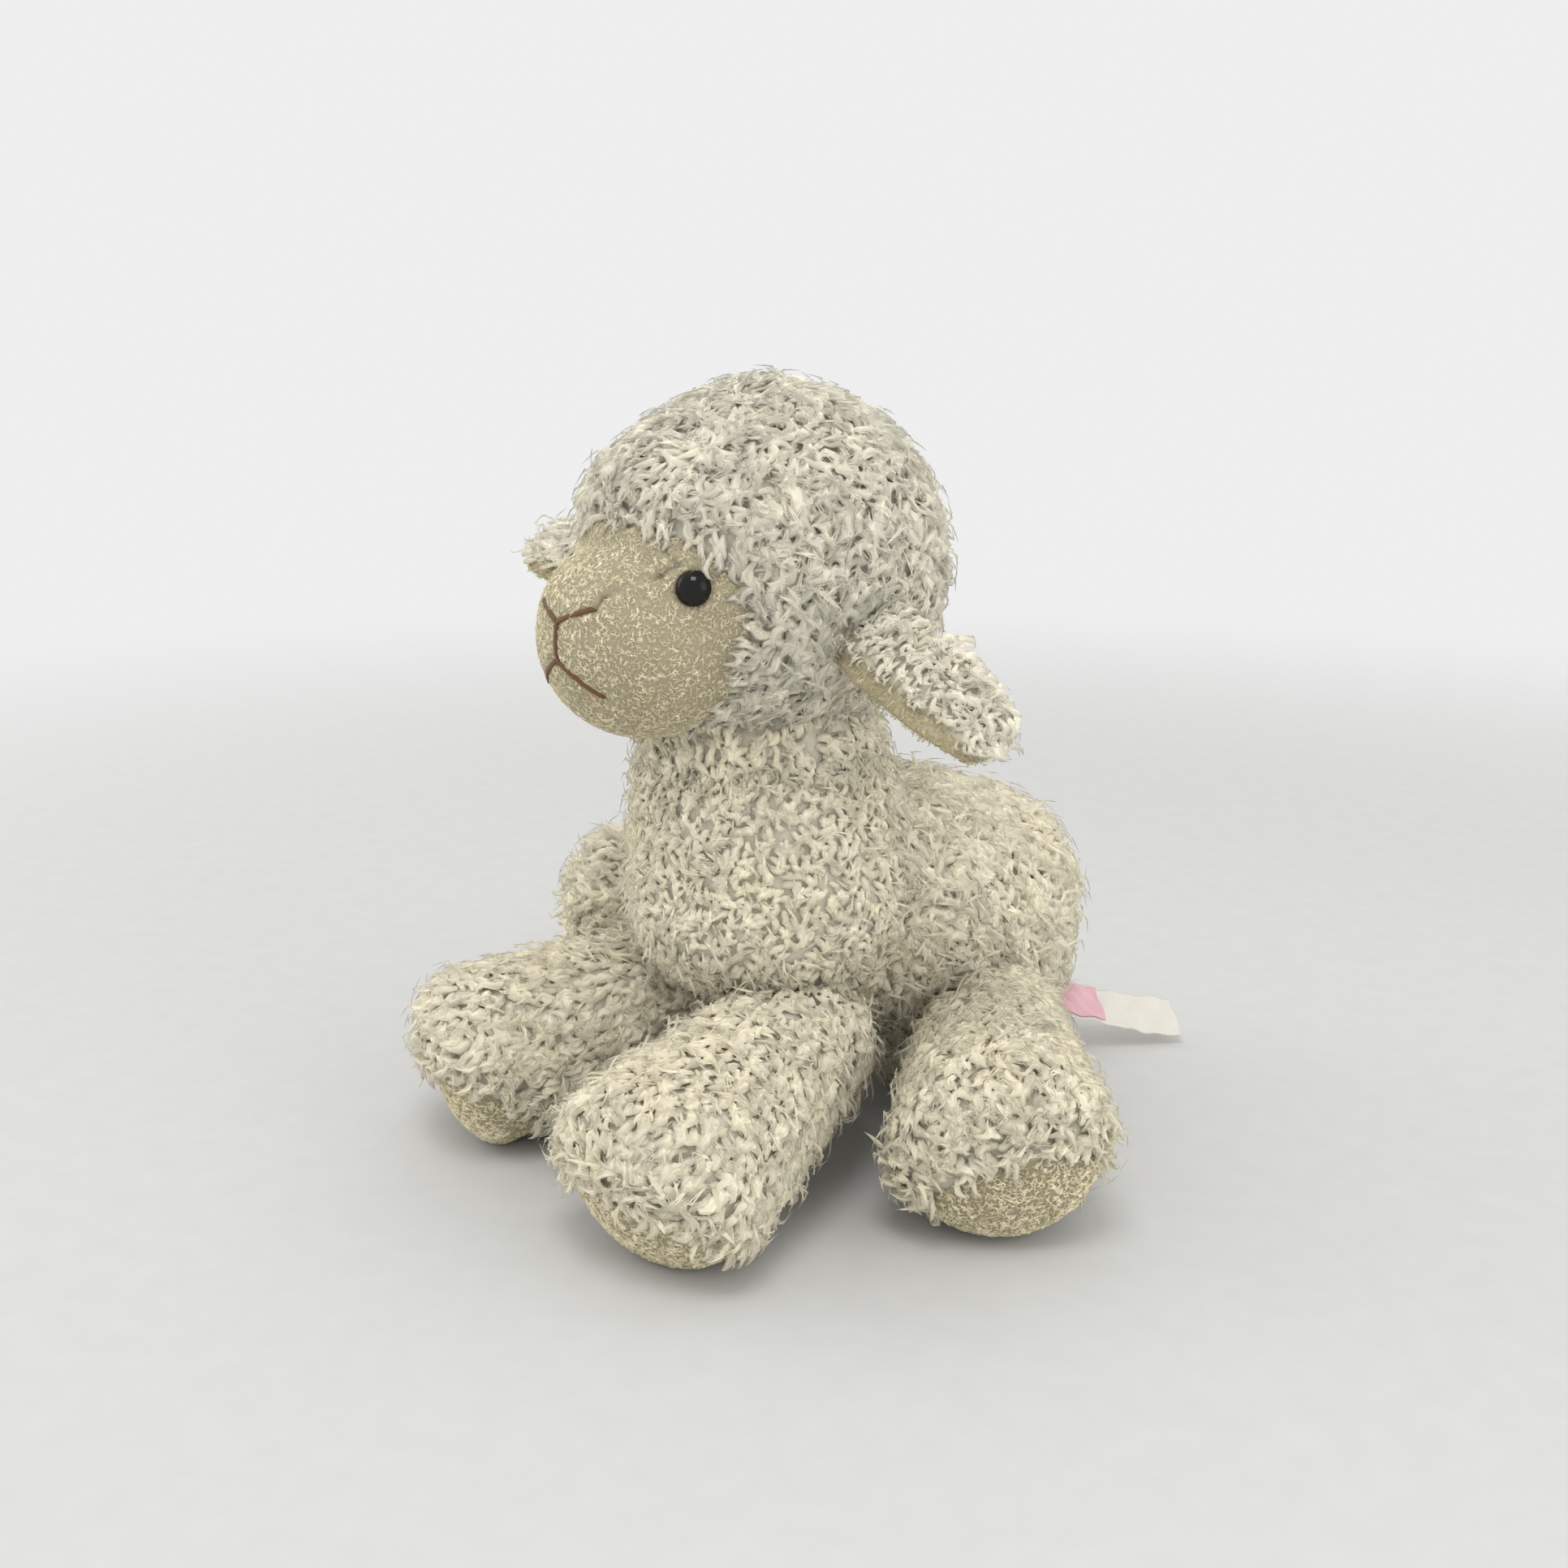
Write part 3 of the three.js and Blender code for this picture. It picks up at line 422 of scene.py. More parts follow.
LEG_ROOT, LEG_CALF, LEG_FOOT = (18, 18), (23, 23), (28, 26)
LEG_TOE_DOME = 14
SOLE_OFFSET = 10
SOLE_LEAN = math.radians(46)
HIP_HEIGHT, REACH_HEIGHT = 34.68, 44.909
FRONT_LENGTH, HIND_LENGTH = 74, 82
legs = {}
for name, root, length, *turns in (
        ("front_left_leg", (30, -91, REACH_HEIGHT), FRONT_LENGTH, 10, 14, 16),
        ("front_right_leg", (-30, -91, REACH_HEIGHT), FRONT_LENGTH, -25, 14, -22),
        ("hind_left_leg", (42, -16, HIP_HEIGHT), HIND_LENGTH, -20, 3, 47),
        ("hind_right_leg", (-42, -21, HIP_HEIGHT), HIND_LENGTH, 0, -13, -49)):
    stops = [(0, 0, *LEG_ROOT), (-length / 2, 0, *LEG_CALF), (-length, 0, *LEG_FOOT)]
    legs[name] = {"form": {"stops": stops, "domes": (LEG_ROOT[0], LEG_TOE_DOME)},
                  "place": place_at(Vector(root), *turns), "length": length}

EAR_LENGTH, EAR_ARCH = 56, 6
ear_form = {"stops": [(0, 0, 8, 0), (-EAR_LENGTH * 0.33, EAR_ARCH / 2, 11, 0),
                      (-EAR_LENGTH * 0.67, EAR_ARCH / 2, 11, 0), (-EAR_LENGTH, -EAR_ARCH / 2, 8, 0)],
            "domes": (0, 4)}
ears = {
    "left_ear": place_at(Vector((50, -87, 180)), -45, 21, 90),
    "right_ear": place_at(Vector((-50, -87, 180)), 45, -14, -76)}
tail_form = {"stops": [(0, 0, 8, 8), (-16, 0, 8, 8)], "domes": (8, 8)}
tail_place = place_at(Vector((0, 36, 61)), drop=-20, turn=180)
print("legs:", ", ".join(legs))

# %% [markdown]
# The wool is a knitted backing with curled locks of pile. A picture of wool on a smooth skin would look flat at the
# outline, so the locks are real and the material only colours them. A lock's root is a little paler than its tip,
# so that the gaps between locks don't turn dark, and fine streaks run along it. Each lock carries the share along
# its length and its own shade as attributes.

# %% Wool, suede and filling
HEM_TAN = linear(208, 197, 163)
LIGHT_DEPTH = 3.2 * MM


def pile_material(name, root, tip, deep, patch_size, streaks, contrast, relief):
    """Pile cloth: root and tip colours of a lock, a deeper colour in soft patches, and how much strands differ."""
    root, tip, deep = (linear(*colour) for colour in (root, tip, deep))
    material, tree = new_material(name)
    place = tree.object_place()
    odd = tree.attribute("lock_shade") - 0.5
    fibre = tree.map_noise(streaks, 3.0, rough=0.7) * 0.6 + tree.noise(place, 1100.0, 3.0, rough=0.7) * 0.4
    colour = tree.mix(tree.spread(tree.attribute("lock_along"), 0.0, 0.75, 0.0, 1.0, smooth=True), root, tip)
    patches = tree.spread(tree.noise(place, 1 / patch_size, 2.0) + odd * 0.25, 0.45, 0.75, 0.0, 0.65)
    colour = tree.mix(patches, colour, deep)
    colour = tree.mix(tree.attribute("hem"), colour, HEM_TAN)
    light = tree.spread(fibre + odd * 0.5, 0.2, 0.8, 1 - contrast, 1.03)
    # Along the face's seams the colour is darkened: painted shade in the seam grooves.
    colour = tree.vector("SCALE", colour, light * (1 - tree.attribute("seam_painted_shade")))
    finish_material(tree, {
        "Base Color": colour, "Roughness": 0.95, "Specular IOR Level": 0.15, "Normal": tree.bump(*relief, fibre),
        "Subsurface Weight": 1.0, "Subsurface Scale": LIGHT_DEPTH, "Subsurface Radius": (1.0, 1.0, 1.0)},
        subsurface_method="BURLEY")
    return material


wool = pile_material("curly_wool", (242, 236, 218), (216, 210, 191), (232, 224, 201),
                     0.03, (16.0, 1.3), 0.12, (0.5, 0.0003))
head_wool = pile_material("head_wool", (240, 235, 220), (200, 196, 182), (226, 220, 204),
                          0.025, (16.0, 1.3), 0.12, (0.5, 0.0003))
# The tan pile is painted darker at the roots and paler at the tips: painted shade and a painted highlight.
suede = pile_material("tan_pile", (226, 214, 180), (248, 241, 216), (212, 199, 162),
                      0.010, (2.0, 0.8), 0.35, (0.9, 0.0007))
filling = speckled_material("fibre_filling", 180.0, 6.0, (228, 226, 220), (248, 247, 244),
                            {"Roughness": 0.95, "Sheen Weight": 0.3}, relief=(0.8, 0.002))
print("cloths:", wool.name, head_wool.name, suede.name, filling.name)

# %% [markdown]
# Blender has hair curves, but they are no mesh, and a model that is handed on needs one. So each lock is a small
# mesh. Its heading leans from upright towards the comb and hooks over at the tip, while it sways a little to the
# side. Round this line it has a soft body and a few strands that wave by themselves and end at their own places. A
# few kinds, of a few dozen faces each, are repeated by thousands with their own length, turn and shade.

# %% Kinds of lock
def lock_line(length, lean, hook, sway, steps=40):
    """Points along a lock and its heading at each."""
    place = np.zeros(3)
    centres, headings = [place.copy()], []
    for k in range(steps):
        share = (k + 0.5) / steps
        pitch = lean * share + hook * share ** 3
        yaw = sway * math.sin(share * math.pi * 1.6)
        heading = np.array([math.sin(pitch) * math.cos(yaw), math.sin(yaw), math.cos(pitch) * math.cos(yaw)])
        headings.append(heading)
        place = place + heading * length / steps
        centres.append(place.copy())
    return centres, headings + [headings[-1]]


def lock_kind(name, length, width, lean, hook, sway, strands, thick, fray=0.5, blunt=0.6):
    """A lock with a soft body of the given width, unless that is zero, and fine strands round it."""
    centres, headings = lock_line(length, lean, hook, sway)
    points, shares, faces, maps = [], [], [], []
    bundle = ([(4, 4, width, 0.0, 1.0)] if width else []) + [
        (3, 2, thick, 1.0 if width else strand * 0.5, 1 - 0.3 * (strand * 0.618 % 1)) for strand in range(strands)]
    for number, (sides, rings, across, aside, whole) in enumerate(bundle):
        first, body, around = len(shares), width > 0 and number == 0, number * 2.4
        rows = []
        for at in [0.0] + [(r + 0.35) / (rings + 0.15) for r in range(rings)] + [1.0]:
            share = at * whole
            index = int(share * (len(centres) - 1))
            heading = headings[index]
            beside = np.array([0.0, 1.0, 0.0]) - heading * heading[1]
            beside /= np.linalg.norm(beside)
            over = np.cross(beside, heading)
            spread = (width / 2 * (0.3 + 0.6 * math.sin(math.pi * min(share * 1.1, 1))) + fray * share ** 2
                      + 0.25 * math.sin(share * 8 + number * 2)) * aside
            middle = centres[index] + (beside * math.cos(around) + over * math.sin(around) * 0.6) * spread
            plump = (0.45 + 0.55 * math.sin(math.pi * min(at * 0.9 + 0.1, 1))) * (1 - blunt * at ** 3)
            half = across / 2 * (plump if body else 1.1 - 0.9 * abs(at - 0.3))
            angles = [2 * math.pi * j / sides + number for j in range(sides)] if 0 < at < 1 else []
            flat = 0.6 if body else 1.0
            rows.append([middle + (beside * math.cos(angle) + over * math.sin(angle) * flat) * half
                         for angle in angles] or [middle])
            shares += [share] * len(rows[-1])
        strand_points, strand_faces = ring_mesh(rows, sides)
        points.append(strand_points)
        for count, face in enumerate(strand_faces):
            faces.append([first + corner for corner in face])
            sector = count // (rings + 1)
            left, right = ((number + part / sides * 0.98) / len(bundle) for part in (sector, sector + 1))
            for corner in face:
                at_end = corner in (0, len(strand_points) - 1)
                across_map = (left + right) / 2 if at_end else left if (corner - 1) % sides == sector else right
                maps.append((across_map, shares[first + corner]))
    kind = new_piece(name, np.concatenate(points) * MM, faces, wool)
    add_field(kind.data, "lock_along", shares)
    for layer in ("LockMap", "OFBake"):
        kind.data.uv_layers.new(name=layer).data.foreach_set("uv", np.array(maps, np.float32).ravel())
    make_outward(kind.data)
    return kind


def make_outward(mesh):
    """Turns a closed mesh whose faces point inwards the right way round."""
    work = bmesh.new()
    work.from_mesh(mesh)
    if work.calc_volume(signed=True) < 0:
        bmesh.ops.reverse_faces(work, faces=work.faces[:])
    work.to_mesh(mesh)
    work.free()


def lock_kinds(name, shapes, **common):
    """Keeps the kinds of one pile in a collection of their own, outside the scene."""
    box = bpy.data.collections.new(name)
    for number, shape in enumerate(shapes):
        kind = lock_kind(f"{name}_{number}", *shape, **common)
        box.objects.link(kind)
        bpy.context.scene.collection.objects.unlink(kind)
    return box


curly_locks = lock_kinds("curly_locks", [
    (10.0, 3.8, 0.6, 1.0, 0.6), (9.5, 3.4, 0.5, 1.5, -0.8), (9.0, 4.0, 0.8, 0.8, 0.8),
    (10.5, 3.2, 0.5, 0.7, -0.9), (8.5, 3.9, 0.4, 1.8, 0.5), (10.0, 3.6, 0.7, -0.5, 0.7)],
    strands=2, thick=0.7, fray=0.8, blunt=0.75)
feathers = lock_kinds("feathers", [
    (12.0, 3.1, 0.4, 1.1, 0.8), (11.5, 2.8, 0.6, 0.8, -1.0), (13.0, 3.2, 0.3, 1.2, 0.7),
    (12.0, 2.7, 0.7, -0.7, -0.9), (10.5, 3.2, 0.3, 1.7, 1.0), (12.5, 2.9, 0.5, 0.6, -0.8)],
    strands=2, thick=0.7, fray=1.0, blunt=0.8)
knot_locks = lock_kinds("knot_locks", [
    (8.5, 3.4, 0.5, 1.8, 0.7), (8.0, 3.2, 0.3, 2.2, -0.6), (9.0, 3.1, 0.7, 1.2, 0.7),
    (7.5, 3.6, 0.3, 2.0, -0.7)], strands=2, thick=0.6, fray=0.3, blunt=0.55)
fringe_locks = lock_kinds("fringe_locks", [
    (12.0, 1.9, 0.5, 0.8, 0.5), (11.0, 1.7, 0.4, -0.6, -0.5), (13.0, 1.5, 0.6, 0.5, 0.6)], strands=2, thick=0.5)
wisps = lock_kinds("wisps", [
    (12.5, 0.0, 0.7, 1.2, 1.2), (11.5, 0.0, 0.5, 1.8, -1.3), (13.5, 0.0, 0.8, 0.6, 0.9)], strands=2, thick=0.5)
suede_pile = lock_kinds("suede_pile", [
    (2.7, 0.0, 1.1, 1.0, 0.9), (2.4, 0.0, 0.8, 1.6, -1.0), (3.0, 0.0, 0.9, 0.6, 0.6)], strands=1, thick=0.62)

# %% [markdown]
# Locks that are placed by hand or in rows would show a pattern, and plain chance leaves clumps and bare spots. So
# one Geometry Nodes tree grows every pile. It scatters points over a skin, at least a spacing apart, by the skin's
# cover. Each point's heading mixes the skin's normal, its comb, a noise that neighbours share, so that locks lie in
# tufts, and a stray of its own. Then a lock of some kind is set on each point and made real.

# %% The fleece tree
MOST_POINTS = 4.0


def begin_group(name, inputs):
    """An empty Geometry Nodes tree with named inputs, and those inputs as outputs to build on."""
    group = bpy.data.node_groups.new(name, "GeometryNodeTree")
    for label, kind in inputs.items():
        group.interface.new_socket(label, in_out="INPUT", socket_type=f"NodeSocket{kind}")
    tree = NodeTree(group)
    start = group.nodes.new("NodeGroupInput")
    return tree, {socket.name: Output(tree, socket) for socket in start.outputs if socket.name}


def end_group(tree, label, points, body, cloth, rotation, size, pick=None):
    """Sets a body on each point, makes it real, dresses it, and gives it out under the label."""
    scale = tree.vector("SCALE", (1.0, 1.0, 1.0), size)
    rows = tree.add("GeometryNodeInstanceOnPoints", None, {
        "Points": points, "Instance": body, "Rotation": rotation, "Scale": scale} | (pick or {}))
    real = tree.add("GeometryNodeRealizeInstances", None, {"Geometry": rows})
    dressed = tree.add("GeometryNodeSetMaterial", None, {"Geometry": real, "Material": cloth})
    tree.tree.interface.new_socket(label, in_out="OUTPUT", socket_type="NodeSocketGeometry")
    tree.add("NodeGroupOutput", None, {0: dressed}, output=())
    return tree.tree


def input_names(group):
    return {item.name: item.identifier for item in group.interface.items_tree if item.in_out == "INPUT"}


def add_nodes(holder, group, values):
    modifier = holder.modifiers.new(group.name, "NODES")
    modifier.node_group = group
    for label, value in values.items():
        modifier[input_names(group)[label]] = value


def fleece_tree():
    tree, given = begin_group("fleece", {
        "Skin": "Geometry", "Locks": "Collection", "Lock Count": "Int", "Spacing": "Float", "Rise": "Float",
        "Tuft Size": "Float", "Tuft Pull": "Float", "Stray": "Float", "Shortest": "Float", "Longest": "Float",
        "Seed": "Int", "Cloth": "Material"})
    seed = given["Seed"]
    points, normal = tree.add("GeometryNodeDistributePointsOnFaces", {"distribute_method": "POISSON"}, {
        "Mesh": given["Skin"], "Seed": seed, "Density Factor": tree.named_field("cover"),
        "Distance Min": given["Spacing"], "Density Max": MOST_POINTS / (given["Spacing"] * given["Spacing"])},
        output=("Points", "Normal"))
    place = tree.vector("SCALE", tree.add("GeometryNodeInputPosition"), 1 / given["Tuft Size"])
    tufts = tree.add("ShaderNodeTexNoise", None, {"Vector": place, "Scale": 1.0, "Detail": 1.0}, output="Color")
    tuft_pull = tree.vector("SCALE", tree.vector("SUBTRACT", tufts, (0.5, 0.5, 0.5)), given["Tuft Pull"] * 4)
    stray = tree.vector("SCALE", tree.random("FLOAT_VECTOR", seed, (-1.0,) * 3, (1.0,) * 3), given["Stray"])
    pull = tree.vector("ADD", tree.vector("ADD", tree.named_field("comb", "FLOAT_VECTOR"), tuft_pull), stray)
    rising = tree.add("ShaderNodeVectorMath", {"operation": "DOT_PRODUCT"}, {0: pull, 1: normal}, output=1)
    flat = tree.vector("NORMALIZE", tree.vector("SUBTRACT", pull, tree.vector("SCALE", normal, rising)))
    heading = tree.vector("ADD", tree.vector("SCALE", normal, given["Rise"] * tree.named_field("lift")), flat)
    upright = tree.add("FunctionNodeAlignRotationToVector", {"axis": "Z"}, {"Vector": heading})
    turned = tree.add("FunctionNodeAlignRotationToVector", {"axis": "X", "pivot_axis": "Z"},
                      {"Rotation": upright, "Vector": flat})

    for kind, label, value in (("FLOAT", "lock_shade", tree.random("FLOAT", seed + 1, 0.0, 1.0)),
                               ("INT", "lock_number", tree.add("GeometryNodeInputIndex"))):
        points = tree.add("GeometryNodeStoreNamedAttribute", {"data_type": kind},
                          {"Geometry": points, "Name": label, "Value": value})
    size = tree.random("FLOAT", seed + 2, given["Shortest"], given["Longest"]) * tree.named_field("reach")
    kind = tree.random("INT", seed + 3, 0, given["Lock Count"] - 1)
    box = tree.add("GeometryNodeCollectionInfo", {"transform_space": "ORIGINAL"},
                   {"Collection": given["Locks"], "Separate Children": True, "Reset Children": True})
    return end_group(tree, "Fleece", points, box, given["Cloth"], turned, size,
                     {"Pick Instance": True, "Instance Index": kind})


fleece = fleece_tree()
print("fleece inputs:", ", ".join(input_names(fleece)))

# %% [markdown]
# A copy of a skin gets its cover, comb and reach as attributes, the tree grows the locks on it, and the result
# becomes a plain mesh. The skin itself stays bare, because it stands for the solid and holds the filling. Locks
# that would stand in the floor are pressed onto it, as the sheep's weight does. Each lock also gets its own tile of
# a second map, where no two locks overlap.

# %% Grow a pile on a skin
FLOOR_CLEARANCE = 0.4 * MM
LOCK_TOTALS = []


def grow(name, body, slot, skin, cover, comb, reach, locks, cloth, spacing, rise, tuft, pull, stray, sizes, seed,
         lift=1.0):
    """Grows one pile on a copy of a skin. Lengths are in millimetres."""
    holder = add_object(name, skin.data.copy())
    add_field(holder.data, "cover", cover)
    add_field(holder.data, "reach", reach)
    add_field(holder.data, "lift", lift)
    add_field(holder.data, "comb", comb, 3)
    add_nodes(holder, fleece, {
        "Locks": locks, "Lock Count": len(locks.objects), "Spacing": spacing * MM, "Rise": rise,
        "Tuft Size": tuft * MM, "Tuft Pull": pull, "Stray": stray, "Shortest": sizes[0],
        "Longest": sizes[1], "Seed": seed, "Cloth": cloth})
    piece = made_real(holder, name)
    press_on_floor(piece.data)
    number = tile_map(piece.data)
    place_piece(piece, body, slot)
    LOCK_TOTALS.append(number)
    triangles = sum(len(face.vertices) - 2 for face in piece.data.polygons)
    print(f"{name}: {number} locks, {triangles} triangles")


def read(data, field, width, kind=np.float32):
    """A field of every vertex, corner or map point, as rows of numbers."""
    values = np.empty(len(data) * width, kind)
    data.foreach_get(field, values)
    return values.reshape(-1, width)


def press_on_floor(mesh):
    places = read(mesh.vertices, "co", 3)
    low = places[:, 2] < FLOOR_CLEARANCE
    places[low, 2] = FLOOR_CLEARANCE + (FLOOR_CLEARANCE - places[low, 2]) * 0.04
    mesh.vertices.foreach_set("co", places.ravel())
    mesh.update()


def tile_map(mesh):
    """Moves each lock's map to a tile of its own, and returns the number of locks."""
    numbers = read(mesh.attributes["lock_number"].data, "value", 1, np.int32)
    _, numbers = np.unique(numbers[:, 0], return_inverse=True)
    tiles = numbers[read(mesh.loops, "vertex_index", 1, np.int32)[:, 0]]
    count = int(numbers.max()) + 1
    side = math.ceil(math.sqrt(count))
    own = read(mesh.uv_layers["LockMap"].data, "uv", 2)
    corner = np.stack([tiles % side, tiles // side], 1)
    mesh.uv_layers["OFBake"].data.foreach_set("uv", ((corner + 0.05 + own * 0.9) / side).astype(np.float32).ravel())
    shifted = own + np.stack([tiles * 0.37, tiles * 1.31], 1) % 61.0
    mesh.uv_layers["LockMap"].data.foreach_set("uv", shifted.astype(np.float32).ravel())
    return count


def points_of(piece):
    """A piece's vertices, in millimetres."""
    return read(piece.data.vertices, "co", 3).astype(float) / MM


def tree_of(piece):
    """What finds the nearest point of a piece, in millimetres."""
    faces = [tuple(face.vertices) for face in piece.data.polygons]
    return BVHTree.FromPolygons([tuple(p) for p in points_of(piece)], faces)


def depths(points, tree):
    """How deep each point lies inside a closed piece. Points outside it have a negative depth."""
    found = []
    for point in points:
        near, normal, _, distance = tree.find_nearest(point)
        outside = (Vector(point) - near).dot(normal) > 0
        found.append(-distance if outside else distance)
    return np.array(found)


def ramp(values, low, high):
    """0 below low, 1 above high, and smooth between."""
    share = np.clip((values - low) / (high - low), 0, 1)
    return share * share * (3 - 2 * share)


print("pile grower ready")

# %% [markdown]
# The torso is a trunk from the rump to the shoulders, and a chest that rises to the collar. A Boolean union would
# leave a sharp crease where they meet, which no stuffed cloth has. Voxel remeshing welds them into one surface, and
# smoothing rounds the crease. The skin is below the tips of the pile.

# %% Torso
SKIN_OUT = 5.0
STUFFING_IN = -0.3


def torso_piece(name, slot, node, out, material, voxel):
    """The trunk and the chest, welded into one closed form."""
    (trunk, trunk_faces), (chest, chest_faces) = stuffed_form(trunk_form, out), stuffed_form(chest_form, out)
    chest_faces = [[corner + len(trunk) for corner in face] for face in chest_faces]
    rough = new_piece(f"{name}_rough", np.concatenate((trunk, chest)) * MM, trunk_faces + chest_faces, material)
    weld = rough.modifiers.new("weld", "REMESH")
    weld.mode = "VOXEL"
    weld.voxel_size = voxel * MM
    soften = rough.modifiers.new("soften", "SMOOTH")
    soften.factor = 0.5
    soften.iterations = 6
    piece = made_real(rough, name)
    press_on_floor(piece.data)
    place_padded(piece, "torso", slot, node)
    return piece


def formed(name, form, place, material, out, **shape):
    """A closed stuffed form in its place."""
    vertices, faces = stuffed_form(form, out, **shape)
    piece = new_piece(name, moved(vertices, place) * MM, faces, material)
    make_outward(piece.data)
    return piece


def stuffed_piece(body, word, slot, form, place, out, material):
    """A closed stuffed form that stands for the solid of a body that has its slot's name."""
    piece = formed(f"{body}_{word}", form, place, material, out)
    press_on_floor(piece.data)
    place_padded(piece, body, slot, f"{body}_{slot}")
    return piece


def skin_and_filling(body, form, place, out, material):
    skin = stuffed_piece(body, "skin", "wool", form, place, out, material)
    stuffed_piece(body, "filling", "stuffing", form, place, STUFFING_IN, filling)
    return skin


at_origin = Matrix.Identity(4)
torso_skin = torso_piece("torso_skin", "wool", "body_wool", SKIN_OUT, wool, 2.5)
torso_piece("torso_filling", "stuffing", "body_stuffing", STUFFING_IN, filling, 3.5)


def ball(name, middle, radii, material):
    """A closed, evenly meshed ball or egg."""
    work = bmesh.new()
    bmesh.ops.create_icosphere(work, subdivisions=4, radius=1.0)
    bmesh.ops.scale(work, vec=Vector(radii) * MM, verts=work.verts)
    bmesh.ops.translate(work, vec=Vector(middle) * MM, verts=work.verts)
    mesh = bpy.data.meshes.new(name)
    work.to_mesh(mesh)
    work.free()
    mesh.materials.append(material)
    mesh.shade_smooth()
    return add_object(name, mesh)


place_padded(ball("seat_pellets", (0, -2, 17), (24, 20, 10), filling), "torso", "pellets", "pellet_bag", fill=0.4)
print("torso skin:", len(torso_skin.data.polygons), "faces")

# %% [markdown]
# The neck is a stuffed ball that the head turns on, and the head is a form from the crown to the nose. The legs
# and the tail are forms in their own places. None is cut off where it is sewn on: each runs on into the piece that
# carries it, so that no gap opens when it turns.

# %% Neck, head, legs and tail
HEAD_SKIN_OUT = 0.8
LEG_SKIN_OUT = 1.6
neck_skin = ball("neck_skin", NECK, (NECK_RADIUS + SKIN_OUT,) * 3, wool)
place_padded(neck_skin, "neck", "wool", "neck_wool")
neck_filling = ball("neck_filling", NECK, (NECK_RADIUS + STUFFING_IN,) * 3, filling)
place_padded(neck_filling, "neck", "stuffing", "neck_stuffing")
head_skin = skin_and_filling("head", head_form, at_origin, HEAD_SKIN_OUT, head_wool)
leg_skins = {name: skin_and_filling(name, leg["form"], leg["place"], LEG_SKIN_OUT, wool)
             for name, leg in legs.items()}
tail_skin = stuffed_piece("tail", "skin", "wool", tail_form, tail_place, SKIN_OUT, wool)
print("stuffed skins:", 4 + len(leg_skins))

# %% [markdown]
# The face is an opening in the wool, with short pile. Cutting it out of the head's own faces would give it a ragged
# edge. Instead, rays from inside the head find where its cloth lies, in rings from the nose out to the opening's
# edge. The seams, the eyes' seats and the embroidery press it in. The seams run where the photograph shows them, on
# both sides alike.

# %% Face cloth
FACE_MIDDLE = Vector((0, -106, 180))
FACE_HALF_WIDTH, FACE_TOP, FACE_BOTTOM, FACE_BACK = 41, 31, 60, -118
FACE_SQUARENESS = 3
FACE_RINGS, FACE_SECTORS = 96, 224
FACE_OUTSIDE = slice(1, 1 + FACE_RINGS * FACE_SECTORS)
FACE_THICKNESS, FACE_DEEPEST = 1.4, 1.1
EYE_AIM = Vector((28, -130, 194))
EYE_START, THREAD_START = Vector((0, -106, 188)), Vector((0, -106, 178))
SEAM_DARK, SEAM_DARK_WIDTH, SEAM_BARE_WIDTH = 0.75, 0.7, 1.0
SEAM = [(9, -156, 186.2), (13.6, -154.2, 188.6), (14.3, -152.7, 191.8), (17.5, -148.3, 193.1),
        (19.2, -143.9, 195.7), (22.0, -140.1, 196.6), (24.2, -136.8, 199.1), (26.3, -134.6, 200.8)]
DART = [(26.3, -134.6, 200.8), (22.6, -135.6, 204.0), (23.1, -138.4, 208.8), (20.3, -137.5, 213.9)]
NOSE_LINES = [[(0.4, -159.8, 183.9), (13, -154, 188.4)], [(0.4, -159.8, 183.9), (-13, -154, 188.4)],
              [(0.4, -159.8, 183.9), (0.5, -159.7, 173.3)]]
MOUTH_LINES = [[(0.5, -159.7, 172.6), (8.3, -156.5, 167.8), (14.9, -152.5, 163.1)],
               [(0.5, -159.7, 172.6), (-8.3, -157.0, 167.8), (-14.9, -152.5, 163.1)]]

fine_vertices, fine_faces = stuffed_form(head_form, SUEDE_PILE, sides=180, steps=60, dome_steps=36)
face_surface = BVHTree.FromPolygons([tuple(v) for v in fine_vertices], [tuple(f) for f in fine_faces])


def on_face(start, aim):
    """Where a line from inside the head leaves the face, and the normal there, in millimetres."""
    place, normal, _, _ = face_surface.ray_cast(start, (aim - start).normalized())
    if normal.dot(aim - start) < 0:
        normal.negate()
    return place, normal


def face_ray(angle, sector):
    side = math.sin(angle)
    return FACE_MIDDLE + Vector((side * math.cos(sector), -math.cos(angle), side * math.sin(sector)))


def in_opening(place):
    rise = place.z - FACE_MIDDLE.z
    reach = FACE_TOP if rise > 0 else FACE_BOTTOM
    inside = abs(place.x / FACE_HALF_WIDTH) ** FACE_SQUARENESS + abs(rise / reach) ** FACE_SQUARENESS <= 1
    return inside and place.y <= FACE_BACK


def opening_angle(sector):
    low, high = 0.1, 2.2
    for _ in range(18):
        middle = (low + high) / 2
        if in_opening(on_face(FACE_MIDDLE, face_ray(middle, sector))[0]):
            low = middle
        else:
            high = middle
    return low


def distance_to_line(points, line):
    """How far each point is from a line of several stretches."""
    nearest = np.full(len(points), 1e9)
    for start, end in zip(np.array(line[:-1], float), np.array(line[1:], float)):
        along = end - start
        share = np.clip((points - start) @ along / (along @ along), 0, 1)
        nearest = np.minimum(nearest, np.linalg.norm(points - start - share[:, None] * along, axis=1))
    return nearest


def mirrored(line):
    return [(-x, y, z) for x, y, z in line]


def dent(near, depth, width, power=2):
    """How far the cloth is pressed in at some distance from a seam, a stitch or an eye."""
    return depth * np.exp(-(near / width) ** power)


